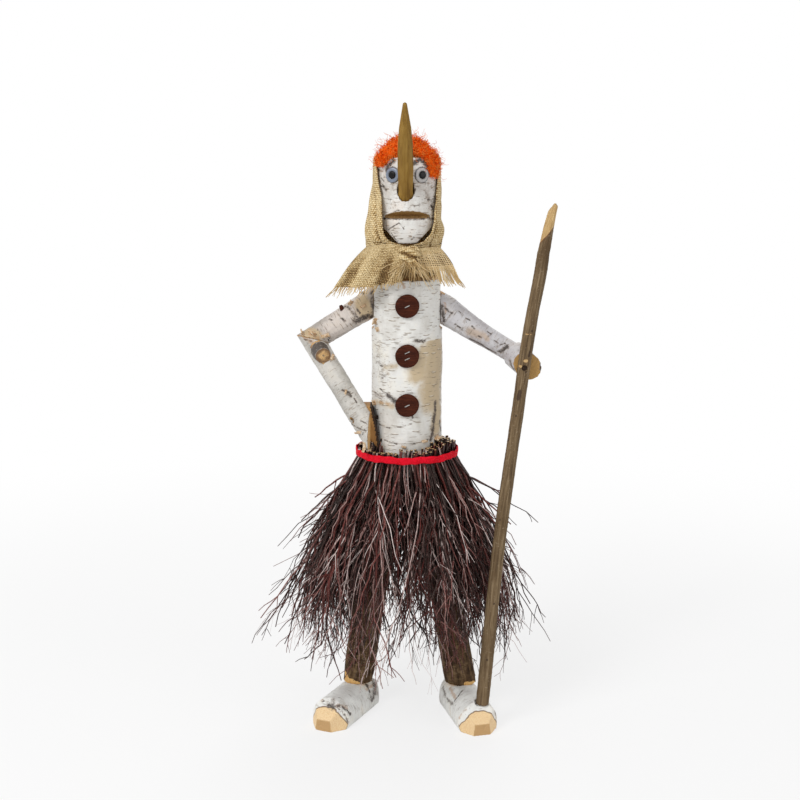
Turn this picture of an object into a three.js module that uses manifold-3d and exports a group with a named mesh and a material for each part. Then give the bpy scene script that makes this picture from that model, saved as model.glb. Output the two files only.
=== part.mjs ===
// Garden figure of birch rounds: a log torso and head, pegged limbs, a staff, a twig skirt and a headscarf.
// Millimetres, +Z up, floor at z = 0. The figure faces -Y, so its own right side is at -X.
import * as THREE from "three";
import { mergeVertices } from "three/addons/utils/BufferGeometryUtils.js";
import Module from "manifold-3d";

const wasm = await Module();
wasm.setup();

// Fits
const fitGap = 0.3; // between pieces that bear on each other
const pegGap = 0.3; // round a peg or a screw in its hole

// Where the torso's axis stands from the middle of the figure's box
const axisOffsetX = 7.4;
const axisOffsetY = -12.6;

// Torso
const torsoDiameter = 112;
const torsoLength = 313;
const hipHeight = 408; // underside of the torso above the floor
const barkChamfer = 1.5;
const shoulderFlatDepth = 4;
const shoulderFlatDrop = 80; // how far the shoulder flats run down from the top

// Head
const neckLength = 55; // torso top to head underside
const headDiameter = 96;
const headLength = 132;
const chinWidth = 27; // flat left between the two chin cuts
const mouthHeight = 39.5; // above the head's underside
const mouthDepth = 19;
const mouthOpening = 10;
const mouthKerf = 1.6;

// Nose, whittled to eight sides
const noseHeight = 86; // middle of its hole above the head's underside
const noseRise = 48; // degrees above the horizontal
const noseSide = -2.5; // off the middle of the face
const noseLean = 0.6; // degrees to the right
const noseLength = 169; // outside the face
const noseSocketDepth = 26;
const noseHoleDiameter = 26;
const noseRootDiameter = 23;
const noseFullDiameter = 26;
const noseTipDiameter = 6.5;

// Eyes
const eyeHeight = 105; // above the head's underside
const eyeSpacing = 45;
const eyeDiameter = 24;
const eyeThickness = 4;
const eyeSeatDepth = 2;
const pupilDiameter = 11;
const pupilProud = 1.4;
const pupilSocketDepth = 2;

// Hair roll
const hairThickness = 27;
const hairTaper = 0.4; // share of its thickness lost at the temples
const hairRise = 18; // of the roll's middle above the head's top

// Headscarf
const clothThickness = 2.6;
const hoodEase = 5; // between the head and the outside of the cloth
const hoodFlare = 6; // further out at the jaw
const collarDrop = 38; // of the cloth below the chin
const backDrop = 62; // further down at the corner behind
const foldDepth = 2.2;
const foldCount = 9;
const knotWidth = 30;
const knotHeight = 22;
const rightTailReach = 115; // from the axis to the tip of the tail
const leftTailReach = 88;
const tailDrop = 70; // of the tips below the chin

// Buttons, each stapled on
const buttonDiameter = 37;
const buttonThickness = 5;
const buttonSpacing = 78;
const topButtonDrop = 40; // below the torso's top
const stapleCrown = 8;
const stapleWire = 1.2;
const stapleLeg = 12;
const stapleTilt = 25; // degrees

// Right arm, hand on hip
const rightShoulderDrop = 39; // of the arm's axis below the torso's top
const upperArmThickShoulder = 49;
const upperArmThickElbow = 39;
const elbowOut = 98; // from the shoulder seat to the elbow, sideways
const elbowDrop = 61;
const forearmThickElbow = 38;
const forearmThickWrist = 34;
const hipReach = 3.5; // of the wrist's tip outside the ribbon
const wristTurn = 225; // degrees round the torso from +X, in front of the right hip
const wristRise = 16; // of the wrist's middle above the ribbon's
const wristCutTurn = -8; // degrees that the wedge's face looks past the torso towards the front
const hipBlockHeight = 74; // of the split block between the forearm and the torso
const hipBlockFront = 33; // from the torso's axis forwards to the block's face
const hipBlockDepth = 30;
const hipBlockLean = 12; // degrees that its edge by the torso leans from upright
const elbowStubDiameter = 27;
const elbowStubLength = 17;

// Left arm, its hand and the staff
const leftShoulderDrop = 48;
const leftArmThickShoulder = 50;
const leftArmThickWrist = 34;
const leftArmOut = 116; // from the shoulder seat to the wrist, sideways
const leftArmDrop = 71;
const leftArmForward = 22;
const handDiameter = 41;
const handForward = 38; // from the wrist to the cut face
const staffDiameter = 21;
const staffAboveHand = 254;
const staffPoint = 64; // length of the longest whittled cut
const staffBow = 5; // how far the staff bows from a straight line
const staffTopBend = 12; // of its top to the side

// Legs and shoes
const legDiameter = 53;
const legTaper = 3; // narrower at the ankle
const hipSpacing = 58;
const rightAnkleOut = 82;
const leftAnkleOut = 90;
const rightAnkleBack = 12;
const leftAnkleBack = 4;
const shoeLength = 154;
const shoeWidth = 66;
const shoeHeight = 46;
const rightShoeTurn = 25; // degrees outwards
const leftShoeTurn = 14;
const ankleFromHeel = 30;
const ankleSeatDepth = 3;
const toeFaceHeight = 18;
const toeBevel = 30; // run of the bevel on top of the toe
const toeCorner = 19; // cut off each side of the toe
const heelCorner = 15;
const staffSeatFromHeel = 124;
const staffSeatSide = 9;
const staffSeatDepth = 6;

// Twig skirt, its binding wire and its ribbon
const waistHeight = 441; // middle of the ribbon above the floor
const twigLayers = 5;
const twigColumns = 10; // pairs of twigs in one layer of one quarter
const twigMiddleShare = 0.55; // of a twig's size at the binding
const twigTipShare = 0.28;
const raggedShare = 0.22; // by which the shortest twigs fall short
const bindingThick = 22; // of the bundle round the torso
const bindingHeight = 10;
const buttRise = 20; // of the cut ends above the binding
const skirtDrop = 322; // of the longest twigs below the waist
const skirtReach = 245; // of the outer twigs' ends from the axis
const flareRate = 1.4; // how fast the twigs spread at the waist, against evenly
const skirtInnerReach = 127;
const skirtRightShare = 1.07; // further out on the right
const skirtTwist = 0.3; // radians round, from the inner twigs to the outer
const frontShare = 0.62; // depth of the skirt in front, as a share of its width
const backShare = 0.8;
const staffPress = 0.58; // share of the depth lost behind the staff
const wristRoom = 0.6; // radians each side of the wrist without cut ends above the binding
const wireDiameter = 1.6;
const ribbonWidth = 11;
const ribbonThickness = 1.2;
const ribbonKnotWidth = 20;

// Pegs and screws
const neckPegDiameter = 26;
const neckPegDepth = 60; // in the head and in the torso
const hipPegDiameter = 16;
const hipPegDepth = 40;
const anklePegDiameter = 14;
const anklePegDepth = 26;
const shoulderPegDiameter = 12;
const shoulderPegDepth = 32;
const elbowPegDiameter = 10;
const elbowPegDepth = 20;
const wristPegDiameter = 10;
const wristPegDepth = 14;
const screwDiameter = 5;
const screwHeadDiameter = 9;
const hipScrewHeight = 60; // above the waist
const hipScrewBite = 30; // in the torso
const staffScrewBite = 16; // in the hand

// Faces round each kind of piece
const logSides = 36;
const limbSides = 16;
const pegSides = 10;
const bandSides = 40;

// Worked out from the above
const torsoRadius = torsoDiameter / 2;
const headRadius = headDiameter / 2;
const torsoTop = hipHeight + torsoLength;
const headBottom = torsoTop + neckLength;
const shoulderSeat = torsoRadius - shoulderFlatDepth + fitGap;
const ankleHeight = shoeHeight - ankleSeatDepth;
const bindingInner = torsoRadius + fitGap;
const bindingOuter = bindingInner + bindingThick;
const wireMiddle = bindingOuter + fitGap + wireDiameter / 2;
const ribbonInner = wireMiddle + wireDiameter / 2 + fitGap;
const ribbonOuter = ribbonInner + ribbonThickness;
const buttonFace = -torsoRadius - fitGap;

const radians = THREE.MathUtils.degToRad;
const vec = (x, y, z) => new THREE.Vector3(x, y, z);
const lerp = THREE.MathUtils.lerp;
const spin = 2 * Math.PI;

// Materials
const finish = (color, roughness, metalness = 0) =>
  new THREE.MeshStandardMaterial({ color, roughness, metalness });
const birchBark = finish(0xe3ded4, 0.8);
const darkBark = finish(0x4a3a2b, 0.95);
const staffBark = finish(0x7d6a55, 0.85);
const bareWood = finish(0xc79a55, 0.7);
const pegWood = finish(0xcfae7c, 0.75);
const buttonWood = finish(0x3f1d17, 0.55);
const twigBark = finish(0x45282a, 0.7);
const redRibbon = finish(0xd81f36, 0.5);
const burlap = finish(0xb59a66, 0.95);
const hairFibre = finish(0xf2551a, 0.9);
const eyePlastic = finish(0x8a93a3, 0.25);
const pupilPlastic = finish(0x121212, 0.2);
const steel = finish(0xb9b9b4, 0.35, 0.9);

// Solids

// A closed three.js geometry as a solid that can be joined and cut.
function solidOf(geometry) {
  const bare = new THREE.BufferGeometry();
  bare.setAttribute("position", geometry.getAttribute("position"));
  if (geometry.index) bare.setIndex(geometry.index);
  const merged = mergeVertices(bare, 1e-4);
  const triVerts = new Uint32Array(merged.index.array);
  const mesh = { numProp: 3, vertProperties: merged.attributes.position.array, triVerts };
  const made = new wasm.Manifold(new wasm.Mesh(mesh));
  if (made.volume() >= 0) return made;
  triVerts.reverse();
  return new wasm.Manifold(new wasm.Mesh({ ...mesh, triVerts }));
}

function geometryOf(solid) {
  const mesh = solid.getMesh();
  const geometry = new THREE.BufferGeometry();
  geometry.setAttribute("position", new THREE.BufferAttribute(mesh.vertProperties, 3));
  geometry.setIndex(new THREE.BufferAttribute(mesh.triVerts, 1));
  geometry.computeVertexNormals();
  return geometry;
}

const joined = (geometries) => geometryOf(wasm.Manifold.union(geometries.map(solidOf)));

function cut(geometry, ...cutters) {
  const left = cutters.reduce((solid, cutter) => solid.subtract(solidOf(cutter)), solidOf(geometry));
  return geometryOf(left);
}

// A closed skin over rows of points, each row a ring of the same length. The first and last rings are closed
// by a fan, or across the sheet where a ring runs out along one face and back along the other.
function skin(rings, acrossSheet = false) {
  const sides = rings[0].length;
  const index = [];
  for (let i = 0; i + 1 < rings.length; i++) {
    for (let j = 0; j < sides; j++) {
      const a = i * sides + j;
      const b = i * sides + ((j + 1) % sides);
      index.push(a, b, b + sides, a, b + sides, a + sides);
    }
  }
  const last = (rings.length - 1) * sides;
  const closeBetween = (a, b, c) => index.push(c, b, a, last + a, last + b, last + c);
  if (acrossSheet) {
    for (let j = 0; j + 1 < sides / 2; j++) {
      closeBetween(j, j + 1, sides - 2 - j);
      closeBetween(j, sides - 2 - j, sides - 1 - j);
    }
  } else {
    for (let j = 1; j + 1 < sides; j++) closeBetween(0, j, j + 1);
  }
  return new THREE.BufferGeometry().setFromPoints(rings.flat()).setIndex(index);
}

function centreOf(points) {
  return points.reduce((sum, p) => sum.add(p), vec(0, 0, 0)).divideScalar(points.length);
}

// A round of wood lofted along a curve, a little out of round, with its ends square to the curve.
function roundwood({ curve, radiusAt, sides = limbSides, rings = 6, lobe = 0.025, phase = 0 }) {
  const frames = curve.computeFrenetFrames(rings, false);
  const rows = frames.tangents.map((tangent, i) => {
    const middle = curve.getPointAt(i / rings);
    return Array.from({ length: sides }, (_, j) => {
      const angle = (j / sides) * spin;
      const radius = radiusAt(i / rings) * (1 + lobe * Math.sin(2 * angle + phase + i * 0.3));
      return middle
        .clone()
        .addScaledVector(frames.normals[i], radius * Math.cos(angle))
        .addScaledVector(frames.binormals[i], radius * Math.sin(angle));
    });
  });
  return skin(rows);
}

// A profile of [radius, height] points turned about +Z.
function turned(profile, sides) {
  const points = profile.map(([radius, height]) => new THREE.Vector2(radius, height));
  return new THREE.LatheGeometry(points, sides).rotateX(Math.PI / 2);
}

// A flat outline in the plane of two axes, extruded evenly to both sides along the third.
function prism(outline, right, up, width) {
  const shape = new THREE.Shape(outline.map(([x, y]) => new THREE.Vector2(x, y)));
  const geometry = new THREE.ExtrudeGeometry(shape, { depth: width, bevelEnabled: false });
  const across = right.clone().cross(up);
  return geometry
    .translate(0, 0, -width / 2)
    .applyMatrix4(new THREE.Matrix4().makeBasis(right, up, across));
}

const alongX = vec(1, 0, 0);
const alongY = vec(0, 1, 0);
const alongZ = vec(0, 0, 1);

// A large block whose one face lies on a plane, on the side that the normal points to.
function halfSpace(point, normal, size = 600) {
  const block = new THREE.BoxGeometry(size, size, size).translate(0, 0, size / 2);
  block.applyQuaternion(new THREE.Quaternion().setFromUnitVectors(alongZ, normal.clone().normalize()));
  return block.translate(point.x, point.y, point.z);
}

// Turns a geometry made about +Z to stand on a point and run along a direction.
function aimed(geometry, point, direction) {
  const turn = new THREE.Quaternion().setFromUnitVectors(alongZ, direction.clone().normalize());
  return geometry.applyQuaternion(turn).translate(point.x, point.y, point.z);
}

function rod(from, to, radius, sides = pegSides) {
  const length = from.distanceTo(to);
  const bar = new THREE.CylinderGeometry(radius, radius, length, sides).rotateX(Math.PI / 2);
  return aimed(bar.translate(0, 0, length / 2), from, to.clone().sub(from));
}

// The hole that a rod fits, longer and wider by the peg gap.
function rodHole(from, to, radius, sides = pegSides) {
  const reach = to.clone().sub(from).normalize().multiplyScalar(pegGap);
  return rod(from.clone().sub(reach), to.clone().add(reach), radius + pegGap, sides);
}

// Screws: a round shank with a flat cone head, entering at one point and biting to another
function screw(from, to) {
  const length = from.distanceTo(to);
  const shank = screwDiameter / 2;
  const headRadiusOut = screwHeadDiameter / 2;
  const cone = headRadiusOut - shank;
  const profile = [[0, 0], [headRadiusOut, 0], [shank, cone], [shank, length - shank], [0, length]];
  return aimed(turned(profile, pegSides), from, to.clone().sub(from));
}

function screwHole(from, to) {
  const way = to.clone().sub(from).normalize();
  const length = from.distanceTo(to) + pegGap;
  const shank = screwDiameter / 2 + pegGap;
  const mouth = screwHeadDiameter / 2 + pegGap;
  const cone = mouth - shank;
  const outside = -screwHeadDiameter * 3;
  const profile = [
    [0, outside],
    [mouth, outside],
    [mouth, pegGap],
    [shank, cone + pegGap],
    [shank, length],
    [0, length],
  ];
  return aimed(turned(profile, pegSides), from, way);
}

// Scene graph
const figure = new THREE.Group();
figure.name = "garden_figure";
figure.position.set(axisOffsetX, axisOffsetY, 0);
const head = new THREE.Group();
head.position.set(0, 0, headBottom);
figure.add(head);

function place(name, geometry, material, parent = figure) {
  const mesh = new THREE.Mesh(geometry, material);
  mesh.name = name;
  parent.add(mesh);
  return mesh;
}

// Pegs: a round peg across each joint between two logs, drilled the same depth into both
function pegAcross(joint, direction, depth, diameter) {
  const reach = direction.clone().normalize().multiplyScalar(depth);
  const ends = [joint.clone().sub(reach), joint.clone().add(reach)];
  return { bar: rod(...ends, diameter / 2), hole: rodHole(...ends, diameter / 2) };
}

const rightHip = vec(-hipSpacing / 2, 0, hipHeight);
const leftHip = vec(hipSpacing / 2, 0, hipHeight);
const rightAnkle = vec(-rightAnkleOut, rightAnkleBack, ankleHeight);
const leftAnkle = vec(leftAnkleOut, leftAnkleBack, ankleHeight);
const rightHipPeg = pegAcross(rightHip, rightAnkle.clone().sub(rightHip), hipPegDepth, hipPegDiameter);
const leftHipPeg = pegAcross(leftHip, leftAnkle.clone().sub(leftHip), hipPegDepth, hipPegDiameter);
const rightAnklePeg = pegAcross(rightAnkle, alongZ, anklePegDepth, anklePegDiameter);
const leftAnklePeg = pegAcross(leftAnkle, alongZ, anklePegDepth, anklePegDiameter);

const rightShoulder = vec(-shoulderSeat, 0, torsoTop - rightShoulderDrop);
const leftShoulder = vec(shoulderSeat, 0, torsoTop - leftShoulderDrop);
const rightArmWay = vec(-elbowOut, 0, -elbowDrop);
const leftArmWay = vec(leftArmOut, -leftArmForward, -leftArmDrop);
const rightShoulderPeg = pegAcross(rightShoulder, rightArmWay, shoulderPegDepth, shoulderPegDiameter);
const leftShoulderPeg = pegAcross(leftShoulder, leftArmWay, shoulderPegDepth, shoulderPegDiameter);

const neckPegBottom = vec(0, 0, torsoTop - neckPegDepth);
const neckPegTop = vec(0, 0, headBottom + neckPegDepth);
const neckHole = () => rodHole(neckPegBottom, neckPegTop, neckPegDiameter / 2, limbSides);
place("neck_peg", rod(neckPegBottom, neckPegTop, neckPegDiameter / 2, limbSides), pegWood);
place("right_hip_peg", rightHipPeg.bar, pegWood);
place("left_hip_peg", leftHipPeg.bar, pegWood);
place("right_ankle_peg", rightAnklePeg.bar, pegWood);
place("left_ankle_peg", leftAnklePeg.bar, pegWood);
place("right_shoulder_peg", rightShoulderPeg.bar, pegWood);
place("left_shoulder_peg", leftShoulderPeg.bar, pegWood);

// Right arm: an upper arm and a forearm mitred at the elbow, the wrist cut to a wedge at the hip
const rightElbow = rightShoulder.clone().add(rightArmWay);
const wristRadius = forearmThickWrist / 2;
const wristOut = ribbonOuter + hipReach;
const wristAngle = radians(wristTurn);
const wrist = vec(wristOut * Math.cos(wristAngle), wristOut * Math.sin(wristAngle), waistHeight + wristRise);
const wristCutNormal = vec(Math.cos(radians(wristCutTurn)), Math.sin(radians(wristCutTurn)), 0);
const forearmEnd = wrist.clone().addScaledVector(wristCutNormal, wristRadius);
const upperArmWay = rightElbow.clone().sub(rightShoulder).normalize();
const forearmWay = forearmEnd.clone().sub(rightElbow).normalize();
const elbowMitre = upperArmWay.clone().add(forearmWay).normalize();
const elbowPeg = pegAcross(rightElbow, elbowMitre, elbowPegDepth, elbowPegDiameter);
place("elbow_peg", elbowPeg.bar, pegWood);

function upperArm() {
  const overrun = upperArmThickShoulder;
  const from = rightShoulder.clone().addScaledVector(upperArmWay, -overrun);
  const to = rightElbow.clone().addScaledVector(upperArmWay, overrun);
  const share = overrun / from.distanceTo(to);
  const radiusAt = (t) => {
    const along = THREE.MathUtils.clamp((t - share) / (1 - 2 * share), 0, 1);
    return lerp(upperArmThickShoulder, upperArmThickElbow, Math.sqrt(along)) / 2;
  };
  const log = roundwood({ curve: new THREE.LineCurve3(from, to), radiusAt, rings: 6, phase: 1 });
  const seat = halfSpace(rightShoulder.clone().add(vec(-fitGap, 0, 0)), alongX);
  const mitre = halfSpace(rightElbow.clone().addScaledVector(elbowMitre, -fitGap / 2), elbowMitre);
  return cut(log, seat, mitre, rightShoulderPeg.hole, elbowPeg.hole);
}
place("right_upper_arm", upperArm(), birchBark);

const hipScrewZ = waistHeight + hipScrewHeight;
const hipScrewShare = (rightElbow.z - hipScrewZ) / (rightElbow.z - forearmEnd.z);
const forearmAtScrew = rightElbow.clone().lerp(forearmEnd, hipScrewShare);
const hipScrewWay = vec(-forearmAtScrew.x, -forearmAtScrew.y, 0).normalize();
const hipScrewFrom = forearmAtScrew.clone().addScaledVector(hipScrewWay, -wristRadius * 0.75);
const hipScrewTo = hipScrewWay.clone().multiplyScalar(hipScrewBite - torsoRadius).setZ(hipScrewZ);
const hipScrewHole = screwHole(hipScrewFrom, hipScrewTo);
place("hip_screw", screw(hipScrewFrom, hipScrewTo), steel);

function forearmLog(grow) {
  const overrun = forearmThickElbow;
  const from = rightElbow.clone().addScaledVector(forearmWay, -overrun);
  const to = forearmEnd.clone().addScaledVector(forearmWay, overrun);
  const radiusAt = (t) => lerp(forearmThickElbow, forearmThickWrist, t) / 2 + grow;
  return roundwood({ curve: new THREE.LineCurve3(from, to), radiusAt, rings: 5, phase: 2 });
}

function forearm() {
  const stubFrom = rightElbow.clone().addScaledVector(forearmWay, elbowStubDiameter * 0.5);
  const stubWay = vec(0.35, -1, -0.3).normalize();
  const stubLength = forearmThickElbow / 2 + elbowStubLength;
  const stubRadius = (t) => (elbowStubDiameter / 2) * (1.25 - 0.25 * t);
  const stubTo = stubFrom.clone().addScaledVector(stubWay, stubLength);
  const stubCurve = new THREE.LineCurve3(stubFrom, stubTo);
  const stub = roundwood({ curve: stubCurve, radiusAt: stubRadius, rings: 3, sides: 14 });
  const mitreAt = rightElbow.clone().addScaledVector(elbowMitre, fitGap / 2);
  const mitre = halfSpace(mitreAt, elbowMitre.clone().negate());
  const wedge = halfSpace(wrist, wristCutNormal);
  return cut(joined([forearmLog(0), stub]), mitre, wedge, elbowPeg.hole, hipScrewHole);
}
place("right_forearm", forearm(), birchBark);

// Hip block: split wood between the forearm and the torso, above the twigs, on the hip screw
function hipBlock() {
  const foot = waistHeight + bindingHeight / 2 + fitGap;
  const block = new THREE.BoxGeometry(torsoDiameter, hipBlockDepth, hipBlockHeight);
  block.translate(-torsoRadius, hipBlockDepth / 2 - hipBlockFront, foot + hipBlockHeight / 2);
  const behindForearm = halfSpace(forearmEnd, vec(forearmWay.z, 0, -forearmWay.x));
  const lean = radians(hipBlockLean);
  const edge = vec(-torsoRadius, 0, foot + hipBlockHeight * 0.8);
  const besideTorso = halfSpace(edge, vec(Math.cos(lean), 0, Math.sin(lean)));
  const torsoRoom = rod(vec(0, 0, hipHeight), vec(0, 0, torsoTop), torsoRadius + fitGap, logSides);
  return cut(block, behindForearm, besideTorso, torsoRoom, forearmLog(fitGap), hipScrewHole);
}
place("hip_block", hipBlock(), bareWood);

// Left arm: one bowed branch, with a short block turned forwards at its end to hold the staff
const wristLeft = leftShoulder.clone().add(leftArmWay);
const handFace = wristLeft.clone().add(vec(handForward * 0.5, -handForward, -handForward * 0.37));
const handWay = handFace.clone().sub(wristLeft).normalize();
const leftArmCurve = new THREE.CatmullRomCurve3([
  leftShoulder.clone().add(vec(-leftArmThickShoulder / 2, 0, 6)),
  leftShoulder,
  leftShoulder.clone().lerp(wristLeft, 0.45).add(vec(0, 3, -2)),
  wristLeft,
  wristLeft.clone().add(vec(leftArmThickWrist * 0.75, -leftArmThickWrist * 0.3, -leftArmThickWrist * 0.42)),
]);
const leftArmEndWay = leftArmCurve.getTangentAt(0.84);
const wristMitre = leftArmEndWay.clone().add(handWay).normalize();
const wristPeg = pegAcross(wristLeft, wristMitre, wristPegDepth, wristPegDiameter);
place("wrist_peg", wristPeg.bar, pegWood);

function leftArm() {
  const radiusAt = (t) => {
    const past = Math.max(0, t - 0.14); // from the shoulder seat
    const flare = Math.max(0, 1 - past / 0.56) ** 1.6;
    return lerp(leftArmThickWrist, leftArmThickShoulder, flare) / 2;
  };
  const log = roundwood({ curve: leftArmCurve, radiusAt, rings: 10, phase: 0.4 });
  const seat = halfSpace(leftShoulder.clone().add(vec(fitGap, 0, 0)), alongX.clone().negate());
  const mitre = halfSpace(wristLeft.clone().addScaledVector(wristMitre, -fitGap / 2), wristMitre);
  return cut(log, seat, mitre, leftShoulderPeg.hole, wristPeg.hole);
}
place("left_arm", leftArm(), birchBark);

// Staff: a bowed stick standing on the left shoe and screwed to the face of the hand
const shoeWay = (turn, side) => vec(side * Math.sin(radians(turn)), -Math.cos(radians(turn)), 0);
const leftShoeWay = shoeWay(leftShoeTurn, 1);
const leftHeel = leftAnkle.clone().setZ(0).addScaledVector(leftShoeWay, -ankleFromHeel);
const staffSeatZ = shoeHeight - staffSeatDepth;
const staffFoot = leftHeel
  .clone()
  .addScaledVector(leftShoeWay, staffSeatFromHeel)
  .addScaledVector(leftShoeWay.clone().cross(alongZ), -staffSeatSide)
  .setZ(staffSeatZ + fitGap);
const staffRadius = staffDiameter / 2;
const staffGrip = handFace.clone().add(vec(-handDiameter * 0.16, -staffRadius * 1.05 - fitGap, 0));
const staffWay = staffGrip.clone().sub(staffFoot).normalize();
const staffTop = staffGrip.clone().addScaledVector(staffWay, staffAboveHand);
const staffBend = staffGrip.clone().lerp(staffTop, 0.6);
staffTop.x += staffTopBend;
const staffCurve = new THREE.CatmullRomCurve3([
  staffFoot,
  staffFoot.clone().lerp(staffGrip, 0.5).add(vec(-staffBow, 0, 0)),
  staffGrip,
  staffBend,
  staffTop,
]);
const staffScrewFrom = staffGrip.clone().add(vec(0, -staffRadius * 0.72, 0));
const staffScrewTo = handFace.clone().setX(staffGrip.x).setZ(staffGrip.z).add(vec(0, staffScrewBite, 0));
const staffScrewHole = screwHole(staffScrewFrom, staffScrewTo);
place("staff_screw", screw(staffScrewFrom, staffScrewTo), steel);

function hand() {
  const radiusAt = () => handDiameter / 2;
  const from = wristLeft.clone().addScaledVector(handWay, -handDiameter);
  const to = handFace.clone().addScaledVector(handWay, handDiameter);
  const log = roundwood({ curve: new THREE.LineCurve3(from, to), radiusAt, rings: 4, phase: 0.8 });
  const mitreAt = wristLeft.clone().addScaledVector(wristMitre, fitGap / 2);
  const mitre = halfSpace(mitreAt, wristMitre.clone().negate());
  const face = halfSpace(handFace, alongY.clone().negate());
  return cut(log, mitre, face, wristPeg.hole, staffScrewHole);
}
place("left_hand", hand(), birchBark);

function staff() {
  const radiusAt = (t) => staffRadius * (1.03 - 0.08 * t);
  const stick = roundwood({ curve: staffCurve, radiusAt, sides: 12, rings: 10, lobe: 0.03 });
  const tip = staffCurve.getPointAt(1).add(vec(staffRadius * 0.4, 0, 0));
  const up = staffCurve.getTangentAt(1);
  const foot = halfSpace(staffFoot, alongZ.clone().negate());
  // Whittled cuts: one long slant on the right of the front, and shorter ones round the point
  const cuts = [
    { from: 205, length: staffPoint },
    { from: 325, length: staffPoint * 0.55 },
    { from: 85, length: staffPoint * 0.7 },
  ].map(({ from, length }) => {
    const out = vec(Math.cos(radians(from)), Math.sin(radians(from)), 0);
    const slant = out.multiplyScalar(length).addScaledVector(up, staffDiameter);
    return halfSpace(tip.clone().addScaledVector(slant.clone().normalize(), 0.6), slant);
  });
  return cut(stick, foot, ...cuts, staffScrewHole);
}
place("staff", staff(), staffBark);

// Torso: a log with a flat sawn for each arm and holes for its pegs, screws and staples
const buttonHeights = [0, 1, 2].map((row) => torsoTop - topButtonDrop - row * buttonSpacing);
// The middle button has a second staple above the first
const staples = [
  { name: "button_staple_top", height: buttonHeights[0] },
  { name: "button_staple_middle_low", height: buttonHeights[1] - 4 },
  { name: "button_staple_middle_high", height: buttonHeights[1] + 6 },
  { name: "button_staple_bottom", height: buttonHeights[2] },
];

// A U of wire: its crown on the button's face and its legs through the button into the log
function stapleShape(height, grow) {
  const half = stapleCrown / 2 + grow;
  const wire = stapleWire + 2 * grow;
  const crown = buttonFace - buttonThickness - fitGap - stapleWire - grow;
  const tip = crown + stapleWire + stapleLeg + 2 * grow;
  const outline = [
    [-half, crown],
    [half, crown],
    [half, tip],
    [half - wire, tip],
    [half - wire, crown + wire],
    [wire - half, crown + wire],
    [wire - half, tip],
    [-half, tip],
  ];
  return prism(outline, alongX, alongY, wire).rotateY(-radians(stapleTilt)).translate(0, 0, height);
}

function torso() {
  const inset = torsoRadius - barkChamfer;
  const profile = [
    [0, 0],
    [inset, 0],
    [torsoRadius, barkChamfer],
    [torsoRadius, torsoLength - barkChamfer],
    [inset, torsoLength],
    [0, torsoLength],
  ];
  const log = turned(profile, logSides).translate(0, 0, hipHeight);
  const flats = [-1, 1].map((side) => {
    const block = new THREE.BoxGeometry(torsoRadius, torsoDiameter, 2 * shoulderFlatDrop);
    return block.translate(side * (torsoRadius * 1.5 - shoulderFlatDepth), 0, torsoTop);
  });
  const pegHoles = [rightHipPeg, leftHipPeg, rightShoulderPeg, leftShoulderPeg].map((peg) => peg.hole);
  const stapleHoles = staples.map(({ height }) => stapleShape(height, pegGap));
  return cut(log, ...flats, ...pegHoles, neckHole(), hipScrewHole, ...stapleHoles);
}
place("torso", torso(), birchBark);

// Buttons and their staples
["button_top", "button_middle", "button_bottom"].forEach((name, row) => {
  const radius = buttonDiameter / 2;
  const round = buttonThickness * 0.2;
  const profile = [
    [0, 0],
    [radius - round, 0],
    [radius, round],
    [radius, buttonThickness - round],
    [radius - round, buttonThickness],
    [0, buttonThickness],
  ];
  const disc = aimed(turned(profile, 24), vec(0, buttonFace, buttonHeights[row]), alongY.clone().negate());
  place(name, cut(disc, ...staples.map(({ height }) => stapleShape(height, pegGap))), buttonWood);
});
staples.forEach(({ name, height }) => place(name, stapleShape(height, 0), steel));

// Legs: splayed logs cut level at the hip and at the shoe
function leg(hip, ankle, hipPeg, anklePeg, phase) {
  const way = ankle.clone().sub(hip).normalize();
  const from = hip.clone().addScaledVector(way, -legDiameter / 2);
  const to = ankle.clone().addScaledVector(way, legDiameter / 2);
  const radiusAt = (t) => (legDiameter - legTaper * t ** 4) / 2;
  const log = roundwood({ curve: new THREE.LineCurve3(from, to), radiusAt, rings: 4, phase });
  const top = halfSpace(hip.clone().add(vec(0, 0, -fitGap)), alongZ);
  const bottom = halfSpace(ankle.clone().add(vec(0, 0, fitGap)), alongZ.clone().negate());
  return cut(log, top, bottom, hipPeg.hole, anklePeg.hole);
}
place("right_leg", leg(rightHip, rightAnkle, rightHipPeg, rightAnklePeg, 0.5), darkBark);
place("left_leg", leg(leftHip, leftAnkle, leftHipPeg, leftAnklePeg, 2.2), darkBark);

// Shoes: logs sawn flat underneath, with a hewn toe. Made with the heel at the origin and the toe along -Y.
function shoe() {
  const radius = shoeWidth / 2;
  const middle = shoeHeight - radius;
  const log = rod(vec(0, 0, middle), vec(0, -shoeLength, middle), radius, 28);
  const sole = halfSpace(vec(0, 0, 0), vec(0, 0, -1));
  const toeSlope = vec(0, -(shoeHeight - toeFaceHeight), toeBevel);
  const bevel = halfSpace(vec(0, -shoeLength, toeFaceHeight), toeSlope);
  const corners = [-1, 1].map((side) =>
    halfSpace(vec(side * (radius - toeCorner), -shoeLength, 0), vec(side, -0.75, 0.12)),
  );
  const heel = halfSpace(vec(0, 0, shoeHeight - heelCorner), vec(0, 1, 0.9));
  const heelSides = [-1, 1].map((side) =>
    halfSpace(vec(side * (radius - heelCorner), 0, 0), vec(side, 1, 0)),
  );
  return cut(log, sole, bevel, ...corners, heel, ...heelSides);
}

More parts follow.
